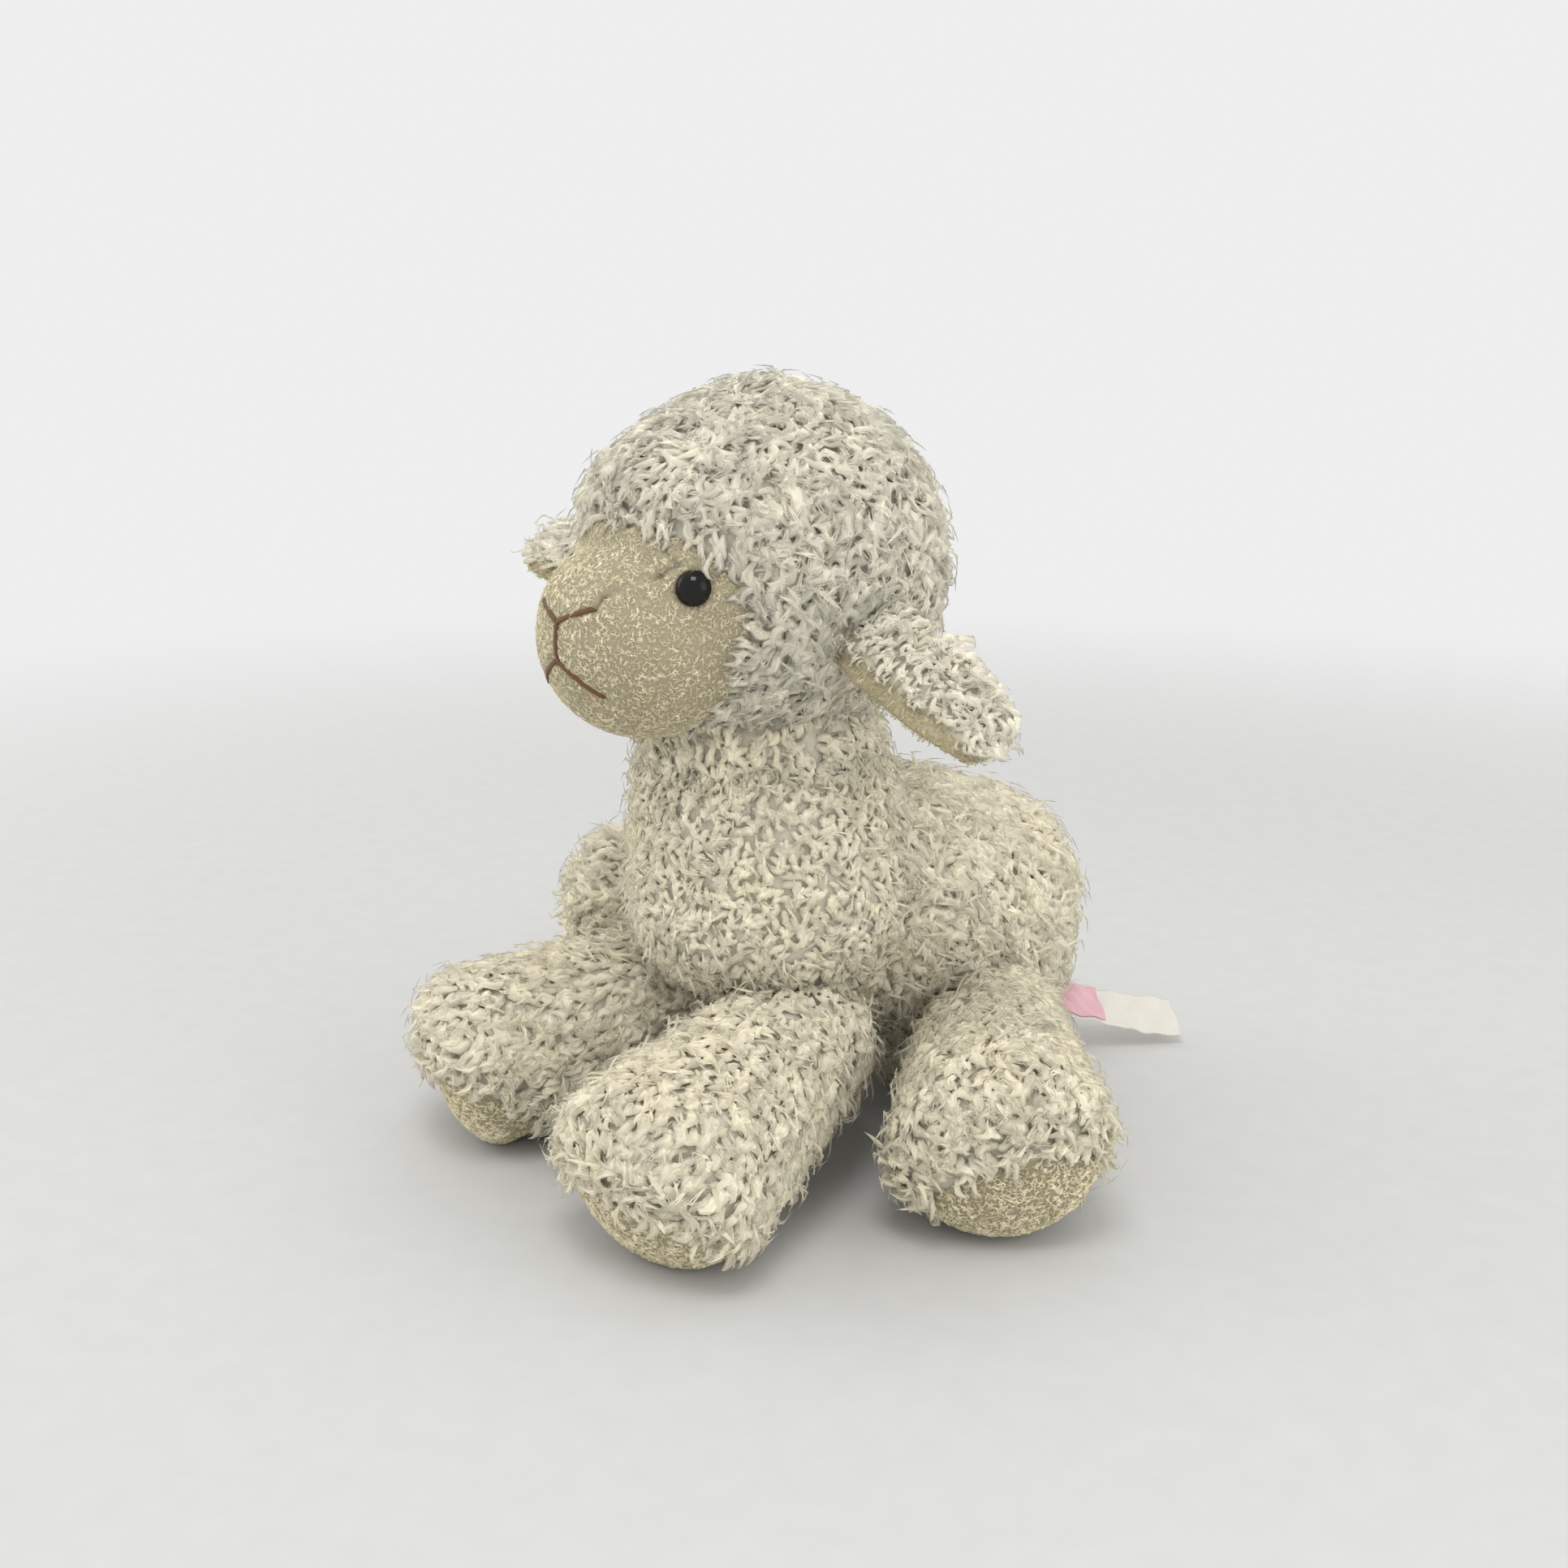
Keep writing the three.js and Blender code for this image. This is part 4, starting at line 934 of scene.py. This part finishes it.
eye_places = {side: on_face(EYE_START, Vector((side * EYE_AIM.x, EYE_AIM.y, EYE_AIM.z))) for side in (1, -1)}
rays = []
for sector in 2 * math.pi * np.arange(FACE_SECTORS) / FACE_SECTORS:
    widest = opening_angle(sector)
    found = [on_face(FACE_MIDDLE, face_ray(widest * (ring + 1) / FACE_RINGS, sector)) for ring in range(FACE_RINGS)]
    rays.append([(tuple(place), tuple(normal)) for place, normal in found])
outer, outward = np.array(rays).transpose(2, 1, 0, 3).reshape(2, -1, 3)

sunk, seam_near = np.zeros(len(outer)), np.full(len(outer), 99.0)
for seam, behind, depth, width, ridge, ridge_at, ridge_width in (
        (SEAM, 0.0, 1.1, 1.3, 0.45, 3.0, 1.4), (DART, 0.2, 0.9, 1.2, 0.35, 2.6, 1.3)):
    for line in (seam, mirrored(seam)):
        near = distance_to_line(outer, line)
        seam_near = np.minimum(seam_near, near + behind)
        sunk += dent(near, depth, width) - dent(near - ridge_at, ridge, ridge_width)
for line in NOSE_LINES + MOUTH_LINES:
    sunk += dent(distance_to_line(outer, line), 0.3, 1.6)
for place, _ in eye_places.values():
    near = np.linalg.norm(outer - np.array(place), axis=1)
    sunk += dent(near, 0.9, 5.0, 4) - dent(near - 7.4, 0.35, 1.6)
ring_number = np.repeat(np.arange(FACE_RINGS), FACE_SECTORS)
sunk += FACE_DEEPEST * ramp(ring_number, FACE_RINGS - 4, FACE_RINGS - 1)
outer = outer - outward * np.clip(sunk, -0.5, FACE_DEEPEST)[:, None]
inner = outer - outward * FACE_THICKNESS
tip, tip_normal = np.array([tuple(v) for v in on_face(FACE_MIDDLE, FACE_MIDDLE + Vector((0, -1, 0)))])
tip = tip - tip_normal * 0.25
ring_shape = (FACE_RINGS, FACE_SECTORS, 3)
rings = [[tip], *outer.reshape(ring_shape), *inner.reshape(ring_shape)[::-1], [tip - tip_normal * FACE_THICKNESS]]
face_vertices, face_faces = ring_mesh(rings, FACE_SECTORS)
face_cloth = new_piece("face_cloth", face_vertices * MM, face_faces, suede)
make_outward(face_cloth.data)
place_padded(face_cloth, "head", "suede", "face_bridge_panel", "left_cheek_panel", "right_cheek_panel")
# The face cloth is painted darker along its seams, a painted shade in their grooves.
seam_painted_shade = np.zeros(len(face_vertices))
seam_painted_shade[FACE_OUTSIDE] = dent(seam_near, SEAM_DARK, SEAM_DARK_WIDTH)
add_field(face_cloth.data, "seam_painted_shade", seam_painted_shade)
print("face cloth:", len(face_faces), "faces; eye at", [round(v, 1) for v in eye_places[1][0]])

# %% [markdown]
# Each eye is one moulded button, with a domed top and a post that goes through the cloth to its washer. A squashed
# ball would look the same from outside, but it has no rim and no post. So a short list of radii and heights is
# turned about the cloth's normal, as on a lathe.

# %% Eyes and washers
EYE_RADIUS, EYE_DOME = 5.25, 4.0
EYE_SIDES, EYE_SUNK = 48, 0.5
POST_RADIUS, POST_LENGTH = 2.0, 13.0
eye_material = speckled_material("glossy_black", 240.0, 3.0, (5, 5, 5), (12, 11, 11),
                                 {"Specular IOR Level": 0.35}, gloss=(0.05, 0.07))
washer_material = speckled_material("moulded_plastic", 500.0, 3.0, (226, 222, 212), (236, 233, 226),
                                    {"Specular IOR Level": 0.5}, gloss=(0.4, 0.15))


def turned(name, profile, place, normal, sides, material):
    """A turned piece on a point, from radii and heights along the normal. The first and last radii are 0."""
    turn = normal.to_track_quat("Z", "Y").to_matrix()
    rings = []
    for radius, height in profile:
        count = sides if radius > 0 else 1
        rings.append([place + turn @ Vector((radius * math.cos(2 * math.pi * j / sides),
                                             radius * math.sin(2 * math.pi * j / sides), height))
                      for j in range(count)])
    vertices, faces = ring_mesh([[tuple(p) for p in ring] for ring in rings], sides)
    piece = new_piece(name, vertices * MM, faces, material)
    make_outward(piece.data)
    return piece


dome = [(EYE_RADIUS * math.cos(math.pi / 2 * k / 16), EYE_DOME * math.sin(math.pi / 2 * k / 16)) for k in range(16)]
eye_profile = [(0, -POST_LENGTH), (POST_RADIUS - 0.3, -POST_LENGTH), (POST_RADIUS, 0.3 - POST_LENGTH),
               (POST_RADIUS, -1.2), (POST_RADIUS + 0.2, -1.0), (EYE_RADIUS - 0.5, -0.7), (EYE_RADIUS - 0.1, -0.4),
               *dome, (0, EYE_DOME)]
for side, word in ((1, "left"), (-1, "right")):
    place, normal = eye_places[side]
    eye = turned(f"{word}_eye_button", eye_profile, place - normal * EYE_SUNK, normal, EYE_SIDES, eye_material)
    place_piece(eye, "head", "eye", f"{word}_eye")
    for slot in frame["nodes"][f"{word}_eye_washer"].material_slots:
        slot.material = washer_material
print("eyes and washers done")

# %% [markdown]
# The embroidery is a row of short slanted stitches along each line, close enough to read as a twisted thread. A
# plain tube would be quicker, but reads as wire. A Geometry Nodes tree sets a stitch on each point of a line, by
# the line's direction and the face's normal.

# %% Embroidery
STITCH_STEP, STITCH_RISE, STITCH_SLANT = 0.42, 0.12, 0.75
STITCH_SIZE = (2.3, 0.8, 0.85)
thread_material = speckled_material(
    "embroidery_thread", 1.0, 4.0, (84, 52, 24), (130, 88, 48),
    {"Roughness": 0.6, "Sheen Weight": 0.2, "Specular IOR Level": 0.4}, relief=(0.5, 0.0002), stretch=(14.0, 3.0))


def stitch_tree():
    tree, given = begin_group("stitching", {
        "Line": "Geometry", "Stitch": "Object", "Slant": "Float", "Seed": "Int", "Cloth": "Material"})
    along, upward = (tree.named_field(name, "FLOAT_VECTOR") for name in ("along", "upward"))
    beside = tree.vector("CROSS_PRODUCT", along, upward)
    heading = tree.vector("ADD", along, tree.vector("SCALE", beside, given["Slant"]))
    lying = tree.add("FunctionNodeAlignRotationToVector", {"axis": "X"}, {"Vector": heading})
    facing = tree.add("FunctionNodeAlignRotationToVector", {"axis": "Z", "pivot_axis": "X"},
                      {"Rotation": lying, "Vector": upward})
    body = tree.add("GeometryNodeObjectInfo", {"transform_space": "ORIGINAL"}, {
        "Object": given["Stitch"], "As Instance": True}, output=4)
    return end_group(tree, "Stitches", given["Line"], body, given["Cloth"], facing,
                     tree.random("FLOAT", given["Seed"], 0.92, 1.1))


stitching = stitch_tree()


def stitch_body(name, length, width, height):
    """One stitch: a spindle with blunt ends, along X."""
    rings, maps_along = [], []
    profile = [(-0.5, 0.0), (-0.46, 0.5), (-0.3, 0.85), (0.0, 1.0), (0.3, 0.85), (0.46, 0.5), (0.5, 0.0)]
    for share, swell in profile:
        count = 8 if swell else 1
        rings.append([(share * length, width / 2 * swell * math.cos(2 * math.pi * j / 8),
                       height / 2 * swell * math.sin(2 * math.pi * j / 8)) for j in range(count)])
        maps_along += [share + 0.5] * count
    vertices, faces = ring_mesh(rings, 8)
    body = new_piece(name, vertices * MM, faces, thread_material)
    layer = body.data.uv_layers.new(name="LockMap")
    for face in body.data.polygons:
        for corner, vertex in zip(face.loop_indices, face.vertices):
            angle = math.atan2(vertices[vertex][2], vertices[vertex][1]) / (2 * math.pi)
            layer.data[corner].uv = (angle % 1.0, maps_along[vertex])
    make_outward(body.data)
    return body


def face_line(line, step, rise):
    """Even points on the face under a line, with its direction and the face's normal at each."""
    line = [Vector(p) for p in line]
    lengths = [(b - a).length for a, b in zip(line, line[1:])]
    count = max(2, round(sum(lengths) / step))
    found = []
    for k in range(count + 1):
        left = sum(lengths) * k / count
        index = 0
        while index < len(lengths) - 1 and left > lengths[index]:
            left -= lengths[index]
            index += 1
        aim = line[index].lerp(line[index + 1], min(left / lengths[index], 1))
        place, normal = on_face(THREAD_START, aim)
        taper = min(1, k / 2, (count - k) / 2)
        found.append((place + normal * (rise * taper - 0.3 * (1 - taper)), normal))
    along = [(found[min(k + 1, count)][0] - found[max(k - 1, 0)][0]).normalized() for k in range(count + 1)]
    return [place for place, _ in found], along, [normal for _, normal in found]


def embroider(name, node, lines, body, seed):
    """Sews the lines with stitches."""
    places, along, upward = [], [], []
    for line in lines:
        for store, values in zip((places, along, upward), face_line(line, STITCH_STEP, STITCH_RISE)):
            store += values
    holder = new_piece(name, [p * MM for p in places], [], thread_material)
    add_field(holder.data, "along", along, 3)
    add_field(holder.data, "upward", upward, 3)
    add_nodes(holder, stitching, {"Stitch": body, "Slant": STITCH_SLANT, "Seed": seed, "Cloth": thread_material})
    place_piece(made_real(holder, name), "head", "thread", node)
    print(f"{name}: {len(places)} stitches")


one_stitch = stitch_body("one_stitch", *STITCH_SIZE)
embroider("nose_embroidery", "nose_stitching", NOSE_LINES, one_stitch, 3)
embroider("mouth_embroidery", "mouth_stitching", MOUTH_LINES, one_stitch, 4)
bpy.data.objects.remove(one_stitch)

# %% [markdown]
# A sole is the end of the foot beyond a leaning plane. A disc of its own would need fitting, while a copy of the
# foot's form, cut at that plane, fits by itself. An ear is two cloths back to back: wool on the upper side, which
# arches, and a lining of the face's tan pile below it.

# %% Soles and ears
sole_normal = Vector((0, -math.cos(SOLE_LEAN), -math.sin(SOLE_LEAN)))
soles = {}
for name, leg in legs.items():
    sole = formed(f"{name}_pad", leg["form"], at_origin, suede, SUEDE_PILE + 0.1, sides=72, steps=40, dome_steps=20)
    work = bmesh.new()
    work.from_mesh(sole.data)
    on_plane = (FORWARD * leg["length"] + sole_normal * SOLE_OFFSET) * MM
    bmesh.ops.bisect_plane(work, geom=work.verts[:] + work.edges[:] + work.faces[:], plane_co=on_plane,
                           plane_no=sole_normal, clear_inner=True)
    bmesh.ops.contextual_create(work, geom=[edge for edge in work.edges if edge.is_boundary])
    work.to_mesh(sole.data)
    work.free()
    for step in (Matrix.Scale(1 / MM, 4), leg["place"], Matrix.Scale(MM, 4)):
        sole.data.transform(step)
    sole.data.shade_smooth()
    make_outward(sole.data)
    press_on_floor(sole.data)
    place_padded(sole, name, "suede", f"{name}_sole")
    soles[name] = sole

ear_wools, ear_linings = {}, {}
for name, place in ears.items():
    ear_wools[name], ear_linings[name] = (
        formed(f"{name}_{word}", ear_form, place, cloth, out, sides=40, steps=30, upper=upper, lower=lower)
        for word, cloth, out, upper, lower in (("skin", wool, 2.0, 1.0, 0.02), ("tan", suede, 1.9, 0.02, 0.9)))
    place_piece(ear_wools[name], name, "wool", f"{name}_wool")
    place_piece(ear_linings[name], name, "suede", f"{name}_lining")
print("soles:", len(soles), "ears:", len(ear_wools))

# %% [markdown]
# Two limp, bare ribbons are sewn into the seat's seam: a long cream satin one, and a short pink one on it. They
# could be dropped as simulated cloth, but ribbons this short fall a little differently for every setting. Each is
# cut flat, gets its waves, and is rolled up at a corner without being stretched.

# %% Labels
LABEL_PLACE = place_at(Vector((3.382, 36.315, 25.579)), -25, 15, 155)
RIBBON_COLUMNS, RIBBON_ROWS, RIBBON_THICKNESS = 20, 72, 0.3


def ribbon_material(name, light, dark, threads, gloss):
    """Woven ribbon, from its own map in millimetres: fine threads both ways, and soft uneven shade."""
    material, tree = new_material(name)
    cloth_map = tree.add("ShaderNodeUVMap", {"uv_map": "ClothMap"})
    weft = tree.add("ShaderNodeTexWave", {"bands_direction": "Y"},
                    {"Vector": cloth_map, "Scale": threads, "Distortion": 0.4})
    warp = tree.add("ShaderNodeTexWave", {"bands_direction": "X"}, {"Vector": cloth_map, "Scale": threads * 1.3})
    weave = weft * 0.65 + warp * 0.35
    soft = tree.noise(cloth_map, 0.12, 3.0)
    creases = tree.noise(cloth_map, 0.3, 2.0) + weave * 0.06
    finish_material(tree, {
        "Base Color": tree.mix(soft * 0.7 + weave * 0.3, linear(*dark), linear(*light)), "Sheen Weight": 0.2,
        "Specular IOR Level": 0.5, "Roughness": gloss + soft * 0.15, "Normal": tree.bump(0.6, 0.001, creases)})
    return material


satin = ribbon_material("satin_ribbon", (244, 240, 230), (232, 226, 212), 1.6, 0.28)
pink = ribbon_material("pink_ribbon", (248, 204, 211), (240, 180, 191), 1.2, 0.5)


def crumple(x, y):
    """Small shared wrinkles, in millimetres, that fade out at the seam."""
    fade = min(-y / 25, 1.0)
    return fade * (0.4 * math.sin(0.42 * y + 0.33 * x) + 0.28 * math.sin(0.71 * y - 0.52 * x + 1.3))


def ribbon(name, node, width, length, lift, waves, curl_start, curl_radius, curl_lean, slot, material):
    """A flat ribbon that gets its waves and is rolled up at a corner."""
    vertices, maps = [], []
    curl_way = Vector((math.sin(curl_lean), -math.cos(curl_lean)))
    for i in range(RIBBON_ROWS + 1):
        for j in range(RIBBON_COLUMNS + 1):
            x, y = width * (j / RIBBON_COLUMNS - 0.5), -length * i / RIBBON_ROWS
            maps.append((x, y))
            over = Vector((x, y)).dot(curl_way) - curl_start
            z = lift + waves * (-y / length) * math.sin(-y * 0.1 + x * 0.06) + crumple(x, y)
            if over > 0:
                angle = over / curl_radius
                shift = curl_way * (curl_radius * math.sin(angle) - over)
                x, y = x + shift.x, y + shift.y
                z += curl_radius * (1 - math.cos(angle))
            vertices.append((x, y, z))
    across = RIBBON_COLUMNS + 1
    corners = [i * across + j for i in range(RIBBON_ROWS) for j in range(RIBBON_COLUMNS)]
    faces = [(a, a + 1, a + across + 1, a + across) for a in corners]
    sheet = new_piece(name, moved(vertices, LABEL_PLACE) * MM, faces, material)
    layer = sheet.data.uv_layers.new(name="ClothMap")
    for loop in sheet.data.loops:
        layer.data[loop.index].uv = maps[loop.vertex_index]
    thicken = sheet.modifiers.new("thickness", "SOLIDIFY")
    thicken.thickness = RIBBON_THICKNESS * MM
    thicken.offset = 0
    sheet = made_real(sheet, name)
    press_on_floor(sheet.data)
    place_piece(sheet, "labels", slot, node)


ribbon("satin_label", "care_label", 20, 72, 0, 1.0, 60, 5.0, math.radians(-35), "satin", satin)
ribbon("pink_label", "top_label", 17, 38, 0.65, 0.53, 34, 9.0, math.radians(8), "pink", pink)
print("labels done")

# %% [markdown]
# The wool's comb and length follow what the photograph shows. On the torso, the chest's curls are short and tight,
# and the back's run down and back. The skin is one form, and its panels grow their wool apart, so that each panel
# is a piece. No lock grows where a skin lies deep in another.

# %% Wool on the torso
def grow_wool(name, body, skin, cover, comb, reach, cloth, rise, tuft, sizes, seed, locks=curly_locks, spacing=2.2,
              lift=1.0):
    """Thick locks, and between them thin wisps that make them look like loose fibre."""
    grow(name, body, "wool", skin, cover, comb, reach, locks, cloth, spacing, rise, tuft, 0.9, 0.5, sizes, seed,
         lift)
    grow(f"{name}_wisps", body, "wool", skin, cover, comb, reach * WISP_REACH, wisps, cloth, WISP_SPACING,
         rise * WISP_RISE, tuft, 1.1, 0.9, sizes, seed + 500, lift)


WISP_SPACING, WISP_REACH, WISP_RISE = 3.1, 1.3, 2.0
HIDDEN_DEPTH = (3.0, 7.0)
HEAD_SWELL, LEG_SWELL = 3.2, 2.4
CHEST_BLEND, CHEST_SEAM = (45, 75), -60
body_tree, neck_tree, head_tree = tree_of(torso_skin), tree_of(neck_skin), tree_of(head_skin)
leg_trees = {name: tree_of(piece) for name, piece in leg_skins.items()}


def bare_of(points, trees):
    """1 where points lie outside other forms, and 0 deep inside one."""
    cover = np.ones(len(points))
    for tree in trees:
        cover *= 1 - ramp(depths(points, tree), *HIDDEN_DEPTH)
    return cover


def swell(piece, amounts):
    """Raises each point of a skin by its own amount, in millimetres."""
    normals = np.array([tuple(vertex.normal) for vertex in piece.data.vertices])
    piece.data.vertices.foreach_set("co", ((points_of(piece) + normals * amounts[:, None]) * MM).ravel())
    press_on_floor(piece.data)


torso_points = points_of(torso_skin)
torso_open = bare_of(torso_points, [neck_tree, *leg_trees.values()])
chest_share = ramp(-torso_points[:, 1], *CHEST_BLEND)
torso_comb = np.outer(1 - chest_share, (0, 0.35, -0.6)) + np.outer(chest_share, (0, 0, -0.5))
torso_reach = 1.06 - 0.24 * chest_share
on_chest, on_left = torso_points[:, 1] < CHEST_SEAM, torso_points[:, 0] > 0
grow_wool("chest_wool", "torso", torso_skin, torso_open * on_chest, torso_comb, torso_reach, wool, 1.0, 9.0,
          (0.75, 1.1), 10, knot_locks, 2.1)
for seed, (name, region) in enumerate((("back_left_wool", on_left), ("back_right_wool", ~on_left)), 11):
    grow_wool(name, "torso", torso_skin, torso_open * (region & ~on_chest), torso_comb, torso_reach, wool, 0.8, 9.0,
              (0.75, 1.1), seed)

# %% [markdown]
# The head's wool falls forward over the face's edge. Its locks are looser than the body's and grow shorter near the
# face. The cloth itself is swollen back from the edge, so that the face lies in an opening. The neck has the
# body's wool, and it runs in under the head, where a nod would bare it.

# %% Wool on the head and neck
NAPE_DEPTH = (12.0, 18.0)
FACE_EDGE = (1, 12)
head_points = points_of(head_skin)
in_face = np.array([in_opening(Vector(p)) for p in head_points])
face_edge = face_vertices[FACE_OUTSIDE][-FACE_SECTORS:]
from_edge = np.array([np.linalg.norm(face_edge - p, axis=1).min() for p in head_points]) * ~in_face
swell(head_skin, HEAD_SWELL * ramp(from_edge, *FACE_EDGE))
head_points = points_of(head_skin)
head_open = bare_of(head_points, [neck_tree]) * (from_edge > 0.4)
head_comb = np.outer(head_points[:, 0], (0.008, 0, 0)) + (0, -0.35, -0.35)
head_reach = 0.8 + 0.2 * ramp(from_edge, *FACE_EDGE)
for seed, (name, side) in enumerate((("head_left_wool", 1), ("head_right_wool", -1)), 20):
    half = head_points[:, 0] * side > 0
    grow_wool(name, "head", head_skin, head_open * half, head_comb, head_reach, head_wool, 0.66, 10.0,
              (0.8, 1.15), seed, feathers, 2.05)
neck_points = points_of(neck_skin)
neck_open = bare_of(neck_points, [body_tree]) * (1 - ramp(depths(neck_points, head_tree), *NAPE_DEPTH))
grow_wool("neck_pile", "neck", neck_skin, neck_open, (0, 0, -0.5), 0.8, wool, 0.9, 9.0, (0.8, 1.1), 30)

# %% [markdown]
# The wool of a leg runs to the foot and ends in a ragged fringe round the sole. Longer locks alone would stand out
# straight there, so the fringe is a row of its own kind. The ears' wool hangs along them and stops at the hem,
# where the tan pile of the lining is turned up.

# %% Wool on the legs, ears and tail
EAR_HEM = (5.5, 7.5)


def in_own_place(points, place):
    """Points of a limb, seen along its own axes."""
    return np.array([tuple(place.inverted() @ Vector(p)) for p in points])


for seed, (name, leg) in enumerate(legs.items(), 40):
    skin = leg_skins[name]
    beyond = (in_own_place(points_of(skin), leg["place"]) - FORWARD * leg["length"]) @ sole_normal - SOLE_OFFSET
    swell(skin, LEG_SWELL * ramp(-beyond, 2, 12))
    open_share = bare_of(points_of(skin), [body_tree]) * (beyond < -1.5)
    near_sole = ramp(beyond, -12, -2)
    comb = np.outer(1 - 0.5 * near_sole, leg["place"].to_3x3() @ FORWARD)
    grow_wool(f"{name}_pile", name, skin, open_share, comb, 0.95 - 0.1 * near_sole, wool, 0.7, 8.0, (0.8, 1.15),
              seed, lift=1 + 1.2 * near_sole)
    rim = ramp(beyond, -14, -6) * (beyond < -3)
    grow(f"{name}_fringe", name, "wool", skin, rim * 0.7, comb * 0.6, 1.0, fringe_locks, wool,
         2.6, 1.2, 7.0, 0.8, 0.7, (0.8, 1.2), seed + 10)
ear_hems = {}
for seed, (name, place) in enumerate(ears.items(), 60):
    skin = ear_wools[name]
    low_side = -1 if place.col[0].z > 0 else 1
    downward = in_own_place(points_of(skin), place)[:, 0] * low_side
    ear_hems[name] = ramp(downward, *EAR_HEM)
    add_field(skin.data, "hem", ear_hems[name])
    full = 0.9 if name == "left_ear" else 1.15
    grow_wool(f"{name}_pile", name, skin, ear_hems[name] < 0.5, place.to_3x3() @ FORWARD,
              full - 0.3 * ramp(downward, 0, 6), head_wool, 0.75, 8.0, (0.65, 0.95), seed, feathers, 1.8)
grow_wool("tail_pile", "tail", tail_skin, bare_of(points_of(tail_skin), [body_tree]),
          tail_place.to_3x3() @ FORWARD, 0.85, wool, 1.0, 8.0, (0.7, 1.1), 70)

# %% [markdown]
# The face, the soles and the ears' linings are a dense, short, upright pile, like suede. Bump would do from afar,
# but close by it is the single hairs that soften the outline and catch the light. They are a few faces each, and
# the same tree sets them closer and straighter.

# %% Short pile on the face, soles and linings
PILE_SPACING = 0.74


def grow_short(name, body, skin, cover, comb, reach, rise, stray, longest, seed):
    """The short tan pile."""
    grow(name, body, "suede", skin, cover, comb, reach, suede_pile, suede, PILE_SPACING, rise, 4.0, 0.7, stray,
         (0.7, longest), seed)


face_points = points_of(face_cloth)
outer_share = np.zeros(len(face_points))
outer_share[0] = 1
outer_share[FACE_OUTSIDE] = seam_near > SEAM_BARE_WIDTH
for place, _ in eye_places.values():
    outer_share *= np.linalg.norm(face_points - np.array(place), axis=1) > EYE_RADIUS - 0.3
grow_short("face_pile", "head", face_cloth, outer_share, (0, 0, -0.3), 0.85, 0.45, 1.4, 1.15, 80)
for seed, (name, leg) in enumerate(legs.items(), 90):
    plane_place = leg["place"] @ (FORWARD * leg["length"] + sole_normal * SOLE_OFFSET)
    outside = (points_of(soles[name]) - plane_place) @ (leg["place"].to_3x3() @ sole_normal) > 0.3
    grow_short(f"{name}_sole_pile", name, soles[name], outside, (0, 0, -0.2), 1.0, 0.6, 1.4, 1.2, seed)
for seed, (name, place) in enumerate(ears.items(), 100):
    comb = place.to_3x3() @ FORWARD * 0.5
    grow_short(f"{name}_hem_pile", name, ear_wools[name], ear_hems[name] >= 0.5, comb, 0.9, 0.5, 1.2, 1.15,
               seed + 10)
    grow_short(f"{name}_lining_pile", name, ear_linings[name], 1.0, comb, 0.9, 0.5, 1.2, 1.15, seed)

# %% [markdown]
# The kinds of lock have been copied wherever they are needed, so the originals go.

# %% Tidy and finish
for box in (curly_locks, feathers, knot_locks, wisps, fringe_locks, suede_pile):
    for kind in list(box.objects):
        bpy.data.objects.remove(kind)
    bpy.data.collections.remove(box)
print("locks in all:", sum(LOCK_TOTALS))
